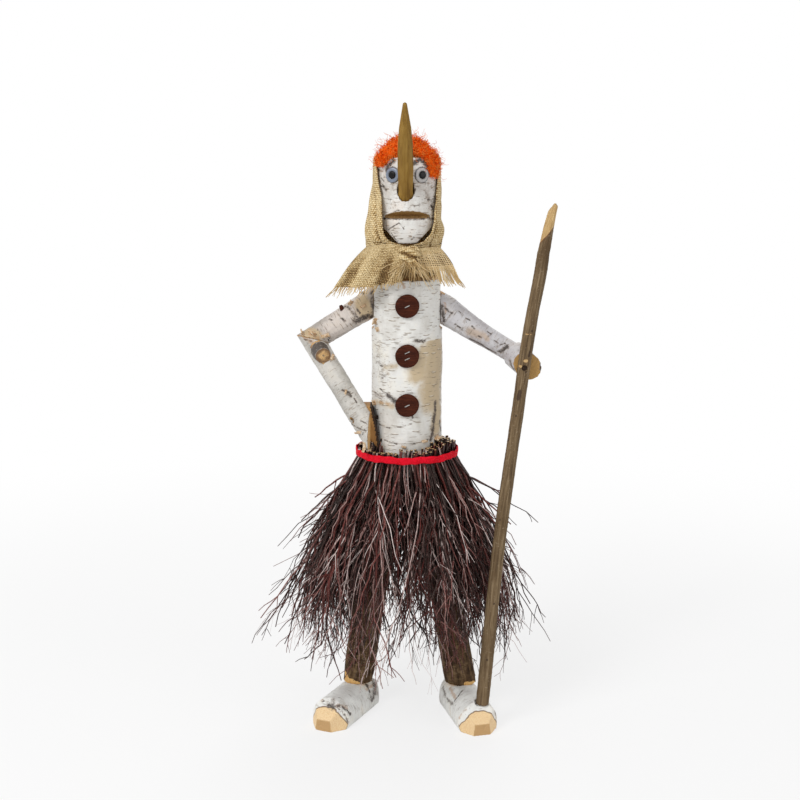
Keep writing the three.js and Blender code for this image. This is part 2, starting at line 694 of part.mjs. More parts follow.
function placeShoe(name, ankle, turn, side, ...tools) {
  const group = new THREE.Group();
  group.position.copy(ankle).setZ(0).addScaledVector(shoeWay(turn, side), -ankleFromHeel);
  group.rotation.z = side * radians(turn);
  group.updateMatrix();
  const toShoe = group.matrix.clone().invert();
  figure.add(group);
  place(name, cut(shoe(), ...tools.map((tool) => tool.clone().applyMatrix4(toShoe))), birchBark, group);
}
const seatAbove = (point, radius) => rod(point, point.clone().setZ(shoeHeight * 2), radius, limbSides);
const ankleSeat = (ankle) => seatAbove(ankle, legDiameter / 2 + fitGap);
const staffSeat = seatAbove(staffFoot.clone().setZ(staffSeatZ), staffRadius * 1.2);
placeShoe("right_shoe", rightAnkle, rightShoeTurn, -1, ankleSeat(rightAnkle), rightAnklePeg.hole);
placeShoe("left_shoe", leftAnkle, leftShoeTurn, 1, ankleSeat(leftAnkle), leftAnklePeg.hole, staffSeat);

// Twig skirt: twigs bound round the torso. The binding's underside is divided into three-sided cells, and
// each cell is drawn out into a tapered twig. The twigs follow one flow outwards, so none crosses another.

// A repeatable scatter between 0 and 1 for a whole number
const scatter = (n, step = 0.618034) => (n * step) % 1;
const bindingBottom = waistHeight - bindingHeight / 2;
const bindingTop = waistHeight + bindingHeight / 2;

// Twigs behind the staff are pressed back by it: only a share of their depth is kept near it
function pressedBack(x, y, z) {
  const rise = THREE.MathUtils.clamp((z - staffFoot.z) / (staffGrip.z - staffFoot.z), 0, 1);
  const staffX = lerp(staffFoot.x, staffGrip.x, rise);
  const near = Math.exp(-(((x - staffX) / (staffDiameter * 2.6)) ** 2));
  return y < 0 ? y * (1 - staffPress * near) : y;
}

// Where the flow has carried a root after a share of the full drop
function flow(root, share) {
  const rootReach = Math.hypot(root.x, root.y);
  const layer = (rootReach - bindingInner) / bindingThick;
  const angle = Math.atan2(root.y, root.x) + skirtTwist * (layer - 0.5) * share;
  const spread = flareRate * share - (flareRate - 1) * share * share;
  const reach = lerp(rootReach, lerp(skirtInnerReach, skirtReach, layer), spread);
  const side = lerp(1, Math.cos(angle) < 0 ? skirtRightShare : 1, share);
  const x = reach * Math.cos(angle) * side;
  const y = reach * Math.sin(angle);
  const z = bindingBottom - skirtDrop * share;
  const depth = lerp(1, y < 0 ? frontShare : backShare, Math.min(1, share * 4));
  return vec(x, pressedBack(x, y * depth, z), z);
}

function skirtQuarter(middle) {
  const half = spin / 8 - fitGap / bindingInner;
  const points = [];
  const index = [];
  const columns = twigColumns + 1;
  for (const z of [bindingBottom, bindingTop]) {
    for (let layer = 0; layer <= twigLayers; layer++) {
      for (let column = 0; column < columns; column++) {
        const reach = lerp(bindingInner, bindingOuter, layer / twigLayers);
        const angle = middle + lerp(-half, half, column / twigColumns);
        points.push(vec(reach * Math.cos(angle), reach * Math.sin(angle), z));
      }
    }
  }
  const upper = points.length / 2;
  const corner = (layer, column) => layer * columns + column;
  const wall = (a, b) => index.push(a, b, b + upper, a, b + upper, a + upper);
  for (let column = 0; column < twigColumns; column++) {
    wall(corner(0, column + 1), corner(0, column));
    wall(corner(twigLayers, column), corner(twigLayers, column + 1));
  }
  for (let layer = 0; layer < twigLayers; layer++) {
    wall(corner(layer, 0), corner(layer + 1, 0));
    wall(corner(layer + 1, twigColumns), corner(layer, twigColumns));
  }
  // Draws a cell out through the points of a path, shrinking as it goes, and closes its end
  const drawOut = (cell, path) => {
    const root = centreOf(cell.map((i) => points[i]));
    let ring = cell;
    for (const { at, share } of path) {
      const next = cell.map((i) => {
        const corner = points[i].clone().sub(root).multiplyScalar(share).add(at);
        return points.push(corner) - 1;
      });
      ring.forEach((a, j) => {
        const k = (j + 1) % ring.length;
        index.push(a, ring[k], next[k], a, next[k], next[j]);
      });
      ring = next;
    }
    index.push(...ring);
  };
  const wristSide = (root) => vec(root.x, root.y, 0).angleTo(vec(wrist.x, wrist.y, 0)) < wristRoom;
  const grow = (cell, seed) => {
    const root = centreOf(cell.map((i) => points[i]));
    const end = 1 - raggedShare * scatter(seed);
    drawOut(cell, [
      { at: flow(root, end * 0.45), share: twigMiddleShare },
      { at: flow(root, end), share: twigTipShare },
    ]);
    const butt = cell.map((i) => i + upper).reverse();
    const outside = Math.hypot(root.x, root.y) > bindingInner + bindingThick * 0.55;
    const rise = buttRise * (0.3 + 0.7 * scatter(seed, 0.754878));
    const at = root.clone().setZ(bindingTop + rise);
    drawOut(butt, outside && !wristSide(root) ? [{ at, share: 0.8 }] : []);
  };
  let seed = Math.round(middle * 100);
  for (let layer = 0; layer < twigLayers; layer++) {
    for (let column = 0; column < twigColumns; column++) {
      const [a, b] = [corner(layer, column), corner(layer, column + 1)];
      const [c, d] = [corner(layer + 1, column), corner(layer + 1, column + 1)];
      grow([a, b, c], seed++);
      grow([b, d, c], seed++);
    }
  }
  return geometryOf(solidOf(new THREE.BufferGeometry().setFromPoints(points).setIndex(index)));
}
["left", "back", "right", "front"].forEach((side, quarter) => {
  place(`twig_skirt_${side}`, skirtQuarter((quarter * spin) / 4), twigBark);
});

// Binding wire under the ribbon, and the ribbon with its knot behind
place(
  "binding_wire",
  new THREE.TorusGeometry(wireMiddle, wireDiameter / 2, 4, bandSides).translate(0, 0, waistHeight),
  steel,
);

function ribbon() {
  const half = ribbonWidth / 2;
  const profile = [
    [ribbonInner, -half],
    [ribbonOuter, -half],
    [ribbonOuter, half],
    [ribbonInner, half],
    [ribbonInner, -half],
  ];
  const band = turned(profile, bandSides);
  const knot = new THREE.SphereGeometry(1, 12, 8)
    .scale(ribbonKnotWidth / 2, ribbonThickness * 3, ribbonWidth * 0.55)
    .translate(0, ribbonOuter + ribbonThickness * 2, 0);
  return joined([band, knot]).translate(0, 0, waistHeight);
}
place("waist_ribbon", ribbon(), redRibbon);

// Head: a log with two chin cuts, a wedge sawn out for the mouth, and holes for the nose, eyes and neck peg
const noseSlope = radians(noseRise);
const noseWay = vec(-Math.sin(radians(noseLean)), -Math.cos(noseSlope), Math.sin(noseSlope)).normalize();
const noseAtFace = vec(noseSide, -headRadius, noseHeight);
const eyeTurn = Math.asin(eyeSpacing / 2 / headRadius);
const eyeWay = (side) => vec(side * Math.sin(eyeTurn), -Math.cos(eyeTurn), 0);
const eyeSeat = (side) => eyeWay(side).multiplyScalar(headRadius - eyeSeatDepth).setZ(eyeHeight);

function headLog() {
  const inset = headRadius - barkChamfer;
  const profile = [
    [0, 0],
    [inset, 0],
    [headRadius, barkChamfer],
    [headRadius, headLength - barkChamfer],
    [inset, headLength],
    [0, headLength],
  ];
  const chin = [-1, 1].map((side) => halfSpace(vec((side * chinWidth) / 2, 0, 0), vec(side, 0, -1)));
  const lip = -headRadius - mouthDepth;
  const gape = mouthHeight + (mouthOpening * (mouthDepth + mouthDepth)) / mouthDepth;
  const mouth = [
    [mouthDepth - headRadius, mouthHeight],
    [mouthDepth - headRadius, mouthHeight + mouthKerf],
    [lip, gape],
    [lip, mouthHeight],
  ];
  const socketEnd = noseAtFace.clone().addScaledVector(noseWay, -noseSocketDepth);
  const noseOutside = noseAtFace.clone().addScaledVector(noseWay, headRadius);
  const noseHole = rodHole(socketEnd, noseOutside, noseHoleDiameter / 2, limbSides);
  const eyeHoles = [-1, 1].map((side) => {
    const out = eyeSeat(side).addScaledVector(eyeWay(side), headRadius);
    return rod(eyeSeat(side), out, eyeDiameter / 2 + pegGap, limbSides);
  });
  const log = turned(profile, logSides);
  const neck = neckHole().translate(0, 0, -headBottom);
  return cut(log, ...chin, prism(mouth, alongY, alongZ, headDiameter), noseHole, ...eyeHoles, neck);
}
place("head", headLog(), birchBark, head);

function nose() {
  const root = noseRootDiameter / 2;
  const tenon = noseHoleDiameter / 2 - pegGap;
  const full = noseFullDiameter / 2;
  const tip = noseTipDiameter / 2;
  const profile = [
    [0, fitGap],
    [tenon, fitGap],
    [tenon, noseSocketDepth * 0.5],
    [root, noseSocketDepth * 0.85],
    [full, noseSocketDepth + noseLength * 0.24],
    [full * 0.94, noseSocketDepth + noseLength * 0.5],
    [full * 0.75, noseSocketDepth + noseLength * 0.7],
    [full * 0.5, noseSocketDepth + noseLength * 0.84],
    [tip, noseSocketDepth + noseLength * 0.98],
    [0, noseSocketDepth + noseLength],
  ];
  const from = noseAtFace.clone().addScaledVector(noseWay, -noseSocketDepth);
  return aimed(turned(profile, 8).rotateZ(Math.PI / 8), from, noseWay);
}
place("nose", nose(), bareWood, head);

// Eyes: a domed plastic ring with a pupil set in its middle
function eye(side, name) {
  const radius = eyeDiameter / 2;
  const pupil = pupilDiameter / 2;
  const ringTop = eyeThickness;
  const socket = ringTop - pupilSocketDepth;
  const ring = [
    [0, fitGap],
    [radius, fitGap],
    [radius, ringTop * 0.5],
    [radius * 0.85, ringTop * 0.9],
    [pupil + pegGap, ringTop],
    [pupil + pegGap, socket],
    [0, socket],
  ];
  const dome = [
    [0, socket + fitGap],
    [pupil, socket + fitGap],
    [pupil, ringTop + pupilProud * 0.4],
    [pupil * 0.6, ringTop + pupilProud * 0.85],
    [0, ringTop + pupilProud],
  ];
  place(`${name}_eye`, aimed(turned(ring, 20), eyeSeat(side), eyeWay(side)), eyePlastic, head);
  place(`${name}_pupil`, aimed(turned(dome, 14), eyeSeat(side), eyeWay(side)), pupilPlastic, head);
}
eye(-1, "right");
eye(1, "left");

// Hair: a thick roll over the forehead, from one temple to the other
function hair() {
  const side = headRadius * 0.82;
  const back = -headRadius * 0.58;
  const roll = new THREE.CatmullRomCurve3([
    vec(-side, back, headLength * 0.84),
    vec(-side * 0.88, back * 1.15, headLength),
    vec(0, back * 1.3, headLength + hairRise),
    vec(side * 0.88, back * 1.15, headLength * 0.98),
    vec(side, back, headLength * 0.78),
  ]);
  const radiusAt = (t) => (hairThickness / 2) * (1 - hairTaper * (2 * t - 1) ** 2);
  const tube = roundwood({ curve: roll, radiusAt, rings: 14, sides: 12 });
  const room = headRadius + fitGap;
  const above = headLength + fitGap;
  const headRoom = turned([[0, 0], [room, 0], [room, above], [0, above]], logSides);
  const noseEnd = noseAtFace.clone().addScaledVector(noseWay, noseLength);
  const noseRoom = rod(noseAtFace, noseEnd, noseFullDiameter / 2 + fitGap);
  const eyeRoom = [-1, 1].map((s) => {
    const out = eyeSeat(s).addScaledVector(eyeWay(s), headRadius);
    return rod(eyeSeat(s), out, eyeDiameter / 2 + 1);
  });
  return cut(tube, headRoom, noseRoom, ...eyeRoom);
}
place("hair", hair(), hairFibre, head);

// Headscarf: one cloth over the head, tied under the chin, with two tails and a corner behind

// A closed sheet of even thickness over a grid of points
function sheet(grid, thickness) {
  const rows = grid.length;
  const columns = grid[0].length;
  const normalAt = (i, j) => {
    const down = grid[Math.min(i + 1, rows - 1)][j].clone().sub(grid[Math.max(i - 1, 0)][j]);
    const across = grid[i][Math.min(j + 1, columns - 1)].clone().sub(grid[i][Math.max(j - 1, 0)]);
    return across.cross(down).normalize();
  };
  const rings = grid.map((row, i) => {
    const face = row.map((p, j) => p.clone().addScaledVector(normalAt(i, j), thickness / 2));
    const back = row.map((p, j) => p.clone().addScaledVector(normalAt(i, j), -thickness / 2));
    return [...face, ...back.reverse()];
  });
  return skin(rings, true);
}

function hood() {
  const outer = headRadius + hoodEase;
  const jaw = outer + hoodFlare;
  const overTorso = torsoRadius + clothThickness + foldDepth + 2;
  const top = headLength + clothThickness + 1.2;
  // Radius and height of the cloth from the crown to its lower edge, for a direction round the head
  const profile = (angle) => {
    const back = Math.max(0, Math.sin(angle)) ** 1.5;
    const rim = collarDrop + backDrop * back;
    const spread = Math.min(1, back * 5);
    return [
      [outer * 0.05, top + 1.5],
      [outer * 0.55, top + 1],
      [outer * 0.93, top],
      [outer, top - 8],
      [outer + 1, headLength * 0.55],
      [lerp(outer, jaw, 0.7), headLength * 0.22],
      [jaw, 2],
      [lerp(outer, jaw, 0.3), -collarDrop * 0.5],
      [lerp(outer - 2, overTorso, spread), -lerp(collarDrop * 0.6, rim, 0.5)],
      [lerp(outer - 4, overTorso, spread), -rim],
    ];
  };
  const sides = 36;
  const ring = (k, inset) =>
    Array.from({ length: sides }, (_, j) => {
      const angle = (j / sides) * spin;
      const [radius, height] = profile(angle)[k];
      const fold = k < 4 ? 0 : foldDepth * Math.sin(foldCount * angle + k * 0.5) * Math.min(1, (k - 3) / 3);
      const reach = Math.max(radius + fold - inset, outer * 0.05 - inset * 0.02);
      const lift = k < 3 ? inset : 0;
      return vec(reach * Math.cos(angle), reach * Math.sin(angle), height - lift);
    });
  const count = profile(0).length;
  const outside = Array.from({ length: count }, (_, k) => ring(k, 0));
  const inside = Array.from({ length: count }, (_, k) => ring(k, clothThickness)).reverse();
  const shell = skin([...outside, ...inside]);
  // The face is left open: the edge runs behind the hair, forward at the jaw and under the chin
  const hairBack = -headRadius * 0.17;
  const temple = -headRadius * 0.66;
  const cheek = -headRadius * 0.79;
  const opening = [
    [hairBack, top * 1.2],
    [hairBack, headLength * 0.76],
    [temple, headLength * 0.67],
    [cheek, headLength * 0.38],
    [cheek * 1.12, headLength * 0.17],
    [cheek * 1.38, headLength * 0.045],
    [-jaw, -4],
    [-jaw * 2, -4],
    [-jaw * 2, top * 1.2],
  ];
  return cut(shell, prism(opening, alongY, alongZ, jaw * 3));
}

// A tail flares from the knot: four corners, with folds that run out from the knot
function tail(knot, shoulder, tip, hem) {
  const columns = 6;
  const rows = 5;
  const grid = Array.from({ length: rows }, (_, i) => {
    const v = i / (rows - 1);
    return Array.from({ length: columns + 1 }, (_, j) => {
      const u = j / columns;
      const upper = knot.clone().lerp(shoulder, u);
      const lower = hem.clone().lerp(tip, u);
      const bulge = -7 * Math.sin(Math.PI * v) - foldDepth * 1.5 * Math.sin(u * spin * 1.5) * v;
      return upper.lerp(lower, v).add(vec(0, bulge, 0));
    });
  });
  return sheet(grid, clothThickness);
}

function headscarf() {
  const jaw = headRadius + hoodEase + hoodFlare;
  const knotAt = vec(-4, -jaw - 6, -10);
  const knot = new THREE.SphereGeometry(1, 12, 8).scale(knotWidth / 2, knotWidth * 0.4, knotHeight / 2);
  const rightTail = tail(
    knotAt.clone().add(vec(-4, 0, 4)),
    vec(-jaw, -jaw * 0.55, 0),
    vec(-rightTailReach, -jaw * 0.92, -tailDrop),
    vec(-4, -jaw - 11, -60),
  );
  const leftTail = tail(
    knotAt.clone().add(vec(8, 0, 3)),
    vec(jaw * 0.95, -jaw * 0.5, -2),
    vec(leftTailReach, -jaw * 0.95, -tailDrop),
    vec(14, -jaw - 7, -52),
  );
  return joined([hood(), knot.translate(knotAt.x, knotAt.y, knotAt.z), rightTail, leftTail]);
}
place("headscarf", headscarf(), burlap, head);

export default figure;
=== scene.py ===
# %% [markdown]
# # A garden figure of birch rounds
# The CAD model already says where every log, peg and twig stands. This notebook keeps those places and
# gives each piece what a CAD solid lacks: bark, grain, woven cloth, loose twigs and curly hair.
# Everything is in metres, in the frame of the CAD model, with the floor at zero.

# %% Load the frame
import math

import bmesh
import bpy
import numpy as np
from mathutils import Matrix, Vector
from mathutils.bvhtree import BVHTree


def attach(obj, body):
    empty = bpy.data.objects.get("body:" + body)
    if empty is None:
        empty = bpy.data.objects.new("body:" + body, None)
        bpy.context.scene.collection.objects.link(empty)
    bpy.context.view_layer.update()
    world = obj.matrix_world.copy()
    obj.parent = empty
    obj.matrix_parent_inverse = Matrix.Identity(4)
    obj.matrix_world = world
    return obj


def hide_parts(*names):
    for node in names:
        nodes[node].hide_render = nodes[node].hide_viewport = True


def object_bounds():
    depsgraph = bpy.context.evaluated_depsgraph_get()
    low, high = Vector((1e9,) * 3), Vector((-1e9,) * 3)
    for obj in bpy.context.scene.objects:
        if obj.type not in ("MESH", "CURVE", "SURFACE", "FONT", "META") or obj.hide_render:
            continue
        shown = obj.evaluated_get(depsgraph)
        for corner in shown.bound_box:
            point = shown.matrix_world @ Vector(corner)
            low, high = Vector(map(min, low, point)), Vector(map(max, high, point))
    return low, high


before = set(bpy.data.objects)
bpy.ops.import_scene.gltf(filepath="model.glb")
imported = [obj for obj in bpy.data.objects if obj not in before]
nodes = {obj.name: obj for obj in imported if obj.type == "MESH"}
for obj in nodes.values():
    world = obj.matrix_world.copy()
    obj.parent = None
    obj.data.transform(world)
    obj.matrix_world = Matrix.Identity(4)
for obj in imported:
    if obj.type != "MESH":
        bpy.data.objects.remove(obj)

scene = bpy.context.scene
cad_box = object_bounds()
MM = 0.001
TORSO_AXIS = np.array([7.4, -12.6, 0.0])  # where the torso's axis meets the floor, in millimetres


def at(x, y, z):
    """A point given in millimetres from the torso's axis and the floor, in metres in the frame."""
    return (np.array([x, y, z], float) + TORSO_AXIS) * MM


# %% [markdown]
# ## Camera
# The picture was taken from about the height of the figure's head, a good two metres away and tilted down by
# eleven degrees. The camera comes first, because marks on the bark are placed by looking through it.

# %% Set up the camera
LENS = 63
SENSOR = 36
PICTURE = 800
CAMERA_PLACE = (-0.0038, -2.2216, 0.946)
CAMERA_TILT = math.radians(79.15)  # from looking straight down
camera = bpy.data.objects.new("camera", bpy.data.cameras.new("camera"))
scene.collection.objects.link(camera)
camera.location = CAMERA_PLACE
camera.rotation_euler = (CAMERA_TILT, 0, 0)
camera.data.lens = LENS
camera.data.sensor_width = SENSOR
scene.camera = camera
scene.view_settings.view_transform = "Standard"

surfaces = {}


def surface_of(node):
    """A CAD node's triangles, ready for nearest-point and ray tests."""
    if node not in surfaces:
        mesh = nodes[node].data
        mesh.calc_loop_triangles()
        corners = [v.co.copy() for v in mesh.vertices]
        surfaces[node] = BVHTree.FromPolygons(corners, [tuple(t.vertices) for t in mesh.loop_triangles])
    return surfaces[node]


def seen_on(node, px, py):
    """The point of a CAD node that shows at a pixel of the picture, or None."""
    focal = LENS / SENSOR * PICTURE
    ray = Vector(((px - PICTURE / 2) / focal, (PICTURE / 2 - py) / focal, -1))
    ray.rotate(camera.rotation_euler)
    return surface_of(node).ray_cast(camera.location, ray)[0]


print("camera at", tuple(round(c, 3) for c in camera.location))

# %% [markdown]
# ## Floor and light
# A pale floor and white surroundings show the figure plainly. The floor and the world glow white for the
# camera alone, so the white costs the figure no extra light. The glow grows with the distance, so the floor
# fades into the surroundings and keeps the shadow under the figure. One large soft lamp stands to the upper
# left, a weak one to the right and one behind, which is enough to round the logs.

# %% Lay the floor
FLOOR_SIZE = 60
NEAR_GLOW, FAR_GLOW = 0.7, 1.0  # of the floor, at the figure and from FAR_REACH on
NEAR_REACH, FAR_REACH = 0.5, 2.0
FLOOR_GREY = (0.86, 0.86, 0.86, 1)


def white_for_camera(tree, lit, share):
    """A shader that is plain white to the camera and mirrors, by a share over the lit one."""
    path = tree.nodes.new("ShaderNodeLightPath")
    seen = path.outputs["Is Camera Ray"]
    for ray in ("Is Glossy Ray", "Is Transmission Ray"):
        either = tree.nodes.new("ShaderNodeMath")
        either.operation = "MAXIMUM"
        tree.links.new(seen, either.inputs[0])
        tree.links.new(path.outputs[ray], either.inputs[1])
        seen = either.outputs[0]
    amount = tree.nodes.new("ShaderNodeMath")
    amount.operation = "MULTIPLY"
    tree.links.new(seen, amount.inputs[0])
    if isinstance(share, bpy.types.NodeSocket):
        tree.links.new(share, amount.inputs[1])
    else:
        amount.inputs[1].default_value = share
    white = tree.nodes.new("ShaderNodeEmission")
    white.inputs["Color"].default_value = (1, 1, 1, 1)
    mix = tree.nodes.new("ShaderNodeMixShader")
    tree.links.new(amount.outputs[0], mix.inputs[0])
    tree.links.new(lit, mix.inputs[1])
    tree.links.new(white.outputs[0], mix.inputs[2])
    return mix.outputs[0]


floor_mesh = bpy.data.meshes.new("floor")
half = FLOOR_SIZE / 2
floor_mesh.from_pydata(
    [(-half, -half, 0), (half, -half, 0), (half, half, 0), (-half, half, 0)], [], [(0, 1, 2, 3)]
)
floor = bpy.data.objects.new("floor", floor_mesh)
scene.collection.objects.link(floor)
floor_paint = bpy.data.materials.new("floor_paint")
floor_paint.use_nodes = True
tree = floor_paint.node_tree
tree.nodes["Principled BSDF"].inputs["Base Color"].default_value = FLOOR_GREY
tree.nodes["Principled BSDF"].inputs["Roughness"].default_value = 0.9
place = tree.nodes.new("ShaderNodeTexCoord")
reach = tree.nodes.new("ShaderNodeVectorMath")
reach.operation = "LENGTH"
tree.links.new(place.outputs["Object"], reach.inputs[0])
glow = tree.nodes.new("ShaderNodeMapRange")
glow.interpolation_type = "SMOOTHSTEP"
tree.links.new(reach.outputs["Value"], glow.inputs["Value"])
for key, value in {
    "From Min": NEAR_REACH, "From Max": FAR_REACH, "To Min": NEAR_GLOW, "To Max": FAR_GLOW,
}.items():
    glow.inputs[key].default_value = value
shown = white_for_camera(tree, tree.nodes["Principled BSDF"].outputs[0], glow.outputs["Result"])
tree.links.new(shown, tree.nodes["Material Output"].inputs["Surface"])
floor_mesh.materials.append(floor_paint)
print("floor", FLOOR_SIZE, "m wide")

# %% Light the stage
SKY_LIGHT = 0.5
world = bpy.data.worlds.new("studio")
scene.world = world
world.use_nodes = True
sky = world.node_tree.nodes["Background"]
sky.inputs["Color"].default_value = (1, 1, 1, 1)
sky.inputs["Strength"].default_value = SKY_LIGHT
shown = white_for_camera(world.node_tree, sky.outputs[0], 1.0)
world.node_tree.links.new(shown, world.node_tree.nodes["World Output"].inputs["Surface"])


def soft_lamp(name, place, aim, size, power):
    """A square lamp of a size in metres and a power in watts, turned towards a point."""
    lamp = bpy.data.lights.new(name, "AREA")
    lamp.size = size
    lamp.energy = power
    holder = bpy.data.objects.new(name, lamp)
    scene.collection.objects.link(holder)
    holder.location = place
    holder.rotation_euler = (Vector(aim) - Vector(place)).to_track_quat("-Z", "Y").to_euler()


soft_lamp("key_lamp", (-1.7, -2.0, 2.5), (0, 0, 0.55), 1.3, 55)
soft_lamp("fill_lamp", (2.3, -1.6, 1.2), (0, 0, 0.5), 1.6, 13)
soft_lamp("back_lamp", (0.6, 2.4, 2.2), (0, 0, 0.6), 1.6, 22)

# %% [markdown]
# ## Tools for finishes
# A finish is a tree of shader nodes. Written out node by node it is long, so a small recipe class adds a
# node in one line: a value that is a socket gets linked, anything else is set on the input. Colours are
# written as a screen shows them, and the class turns them into the linear values that shaders use.

# %% Make the recipe class
def screen(red, green, blue):
    """A colour as a screen shows it, 0 to 255, in the linear values that shaders use."""

    def linear(value):
        value /= 255
        return value / 12.92 if value <= 0.04045 else ((value + 0.055) / 1.055) ** 2.4

    return (linear(red), linear(green), linear(blue), 1.0)


class Recipe:
    """A material whose nodes are added one call at a time."""

    def __init__(self, name):
        self.material = bpy.data.materials.new(name)
        self.material.use_nodes = True
        self.tree = self.material.node_tree
        self.shader = self.tree.nodes["Principled BSDF"]

    def feed(self, socket, value):
        if isinstance(value, bpy.types.NodeSocket):
            self.tree.links.new(value, socket)
        elif socket.type == "RGBA":
            socket.default_value = screen(*value)
        else:
            socket.default_value = value

    def add(self, kind, inputs, **settings):
        node = self.tree.nodes.new("ShaderNode" + kind)
        for key, value in settings.items():
            setattr(node, key, value)
        for key, value in inputs.items():
            self.feed(node.inputs[key], value)
        return node

    def attribute(self, name, output="Fac"):
        return self.add("Attribute", {}, attribute_name=name).outputs[output]

    def place(self):
        return self.add("TexCoord", {}).outputs["Object"]

    def stretched(self, vector, scale):
        return self.add("Mapping", {"Vector": vector, "Scale": scale}).outputs[0]

    def noise(self, vector, scale, detail, rough=0.5, stretch=None):
        if stretch:
            vector = self.stretched(vector, stretch)
        inputs = {"Vector": vector, "Scale": scale, "Detail": detail, "Roughness": rough}
        return self.add("TexNoise", inputs).outputs["Fac"]

    def calc(self, operation, a, b=0.0):
        return self.add("Math", {0: a, 1: b}, operation=operation).outputs[0]

    def weigh(self, *parts):
        """The sum of several values, each times its weight."""
        value, weight = parts[0]
        total = self.calc("MULTIPLY", value, weight)
        for value, weight in parts[1:]:
            total = self.calc("ADD", total, self.calc("MULTIPLY", value, weight))
        return total

    def swing(self, value, weight):
        """A noise value moved to swing about zero, times a weight."""
        return self.calc("MULTIPLY", self.calc("SUBTRACT", value, 0.5), weight)

    def from_axis(self, vector):
        """Distance from the third axis."""
        split = self.add("SeparateXYZ", {"Vector": vector})
        squares = [self.calc("MULTIPLY", split.outputs[k], split.outputs[k]) for k in (0, 1)]
        return self.calc("SQRT", self.calc("ADD", *squares))

    def rise(self, value, low, high):
        """0 below low, 1 above high, smooth between."""
        inputs = {"Value": value, "From Min": low, "From Max": high}
        return self.add("MapRange", inputs, interpolation_type="SMOOTHSTEP").outputs["Result"]

    def mix(self, share, a, b):
        return self.add("Mix", {0: share, 6: a, 7: b}, data_type="RGBA").outputs[2]

    def tint(self, colour, where, share, other):
        """A colour that goes over to another by a share where a value is 1."""
        return self.mix(self.calc("MULTIPLY", where, share), colour, other)

    def ramp(self, value, *stops):
        node = self.add("ValToRGB", {"Fac": value})
        band = node.color_ramp
        while len(band.elements) < len(stops):
            band.elements.new(0.5)
        for element, (position, colour) in zip(band.elements, stops):
            element.position = position
            element.color = screen(*colour)
        return node.outputs["Color"]

    def bump(self, height, distance, strength):
        inputs = {"Height": height, "Distance": distance, "Strength": strength}
        return self.add("Bump", inputs).outputs[0]

    def done(self, colour, roughness, normal=None, **fixed):
        self.feed(self.shader.inputs["Base Color"], colour)
        self.feed(self.shader.inputs["Roughness"], roughness)
        if normal:
            self.feed(self.shader.inputs["Normal"], normal)
        for key, value in fixed.items():
            label = key.replace("_", " ").title().replace("Ior", "IOR")
            self.shader.inputs[label].default_value = value
        return self.material


print("recipe class ready")

# %% [markdown]
# ## Birch bark and cut wood
# Birch bark is a white paper with short dark dashes round the log, grey clouds, black patches where twigs
# once grew, and tan layers where the paper has peeled. Each log carries its own coordinates in an
# attribute: across, across and along the log. A dash then runs round a slanted arm as it does round the
# upright torso. A second attribute says where the saw has left bare wood, a third where dark marks and, on
# the head, painted shade lie, and a fourth where the paper has peeled.

# %% Cut wood and lens marks
def cut_wood(r, co, pale, deep):
    """Colour of sawn or hewn wood: faint year rings round the log's middle and fine fibres along it."""
    reach = r.from_axis(co)
    wander = r.noise(co, 45, 3)
    ring = r.calc("SINE", r.weigh((reach, 2600), (wander, 9)))
    fibre = r.noise(co, 1, 4, 0.6, (700, 700, 60))
    tone = r.weigh((ring, 0.045), (fibre, 0.95))
    return r.ramp(tone, (0.3, deep), (0.62, pale)), tone


def lenses(r, co, wide, tall):
    """Flat lens shapes round the log, one in each cell of the given size: 1 inside, and a lower rim for
    painted shadow.
    """
    scaled = r.stretched(co, (1 / wide, 1 / wide, 1 / tall))
    cell = r.add("TexVoronoi", {"Vector": scaled, "Scale": 1.0, "Randomness": 0.9})
    reach = cell.outputs["Distance"]
    inside = r.rise(reach, 0.25, 0.13)
    offset = r.add("VectorMath", {0: scaled, 1: cell.outputs["Position"]}, operation="SUBTRACT")
    below = r.rise(r.add("SeparateXYZ", {"Vector": offset.outputs[0]}).outputs[2], 0.02, -0.06)
    rim = r.calc("MULTIPLY", r.rise(reach, 0.1, 0.17), r.rise(reach, 0.3, 0.22))
    return inside, r.calc("MULTIPLY", rim, below)


print("cut wood and lens marks ready")

# %% Birch finish
INNER_BARK = (112, 80, 52)
BLACK_BARK = (58, 49, 44)
DASH_CORE = (84, 74, 66)


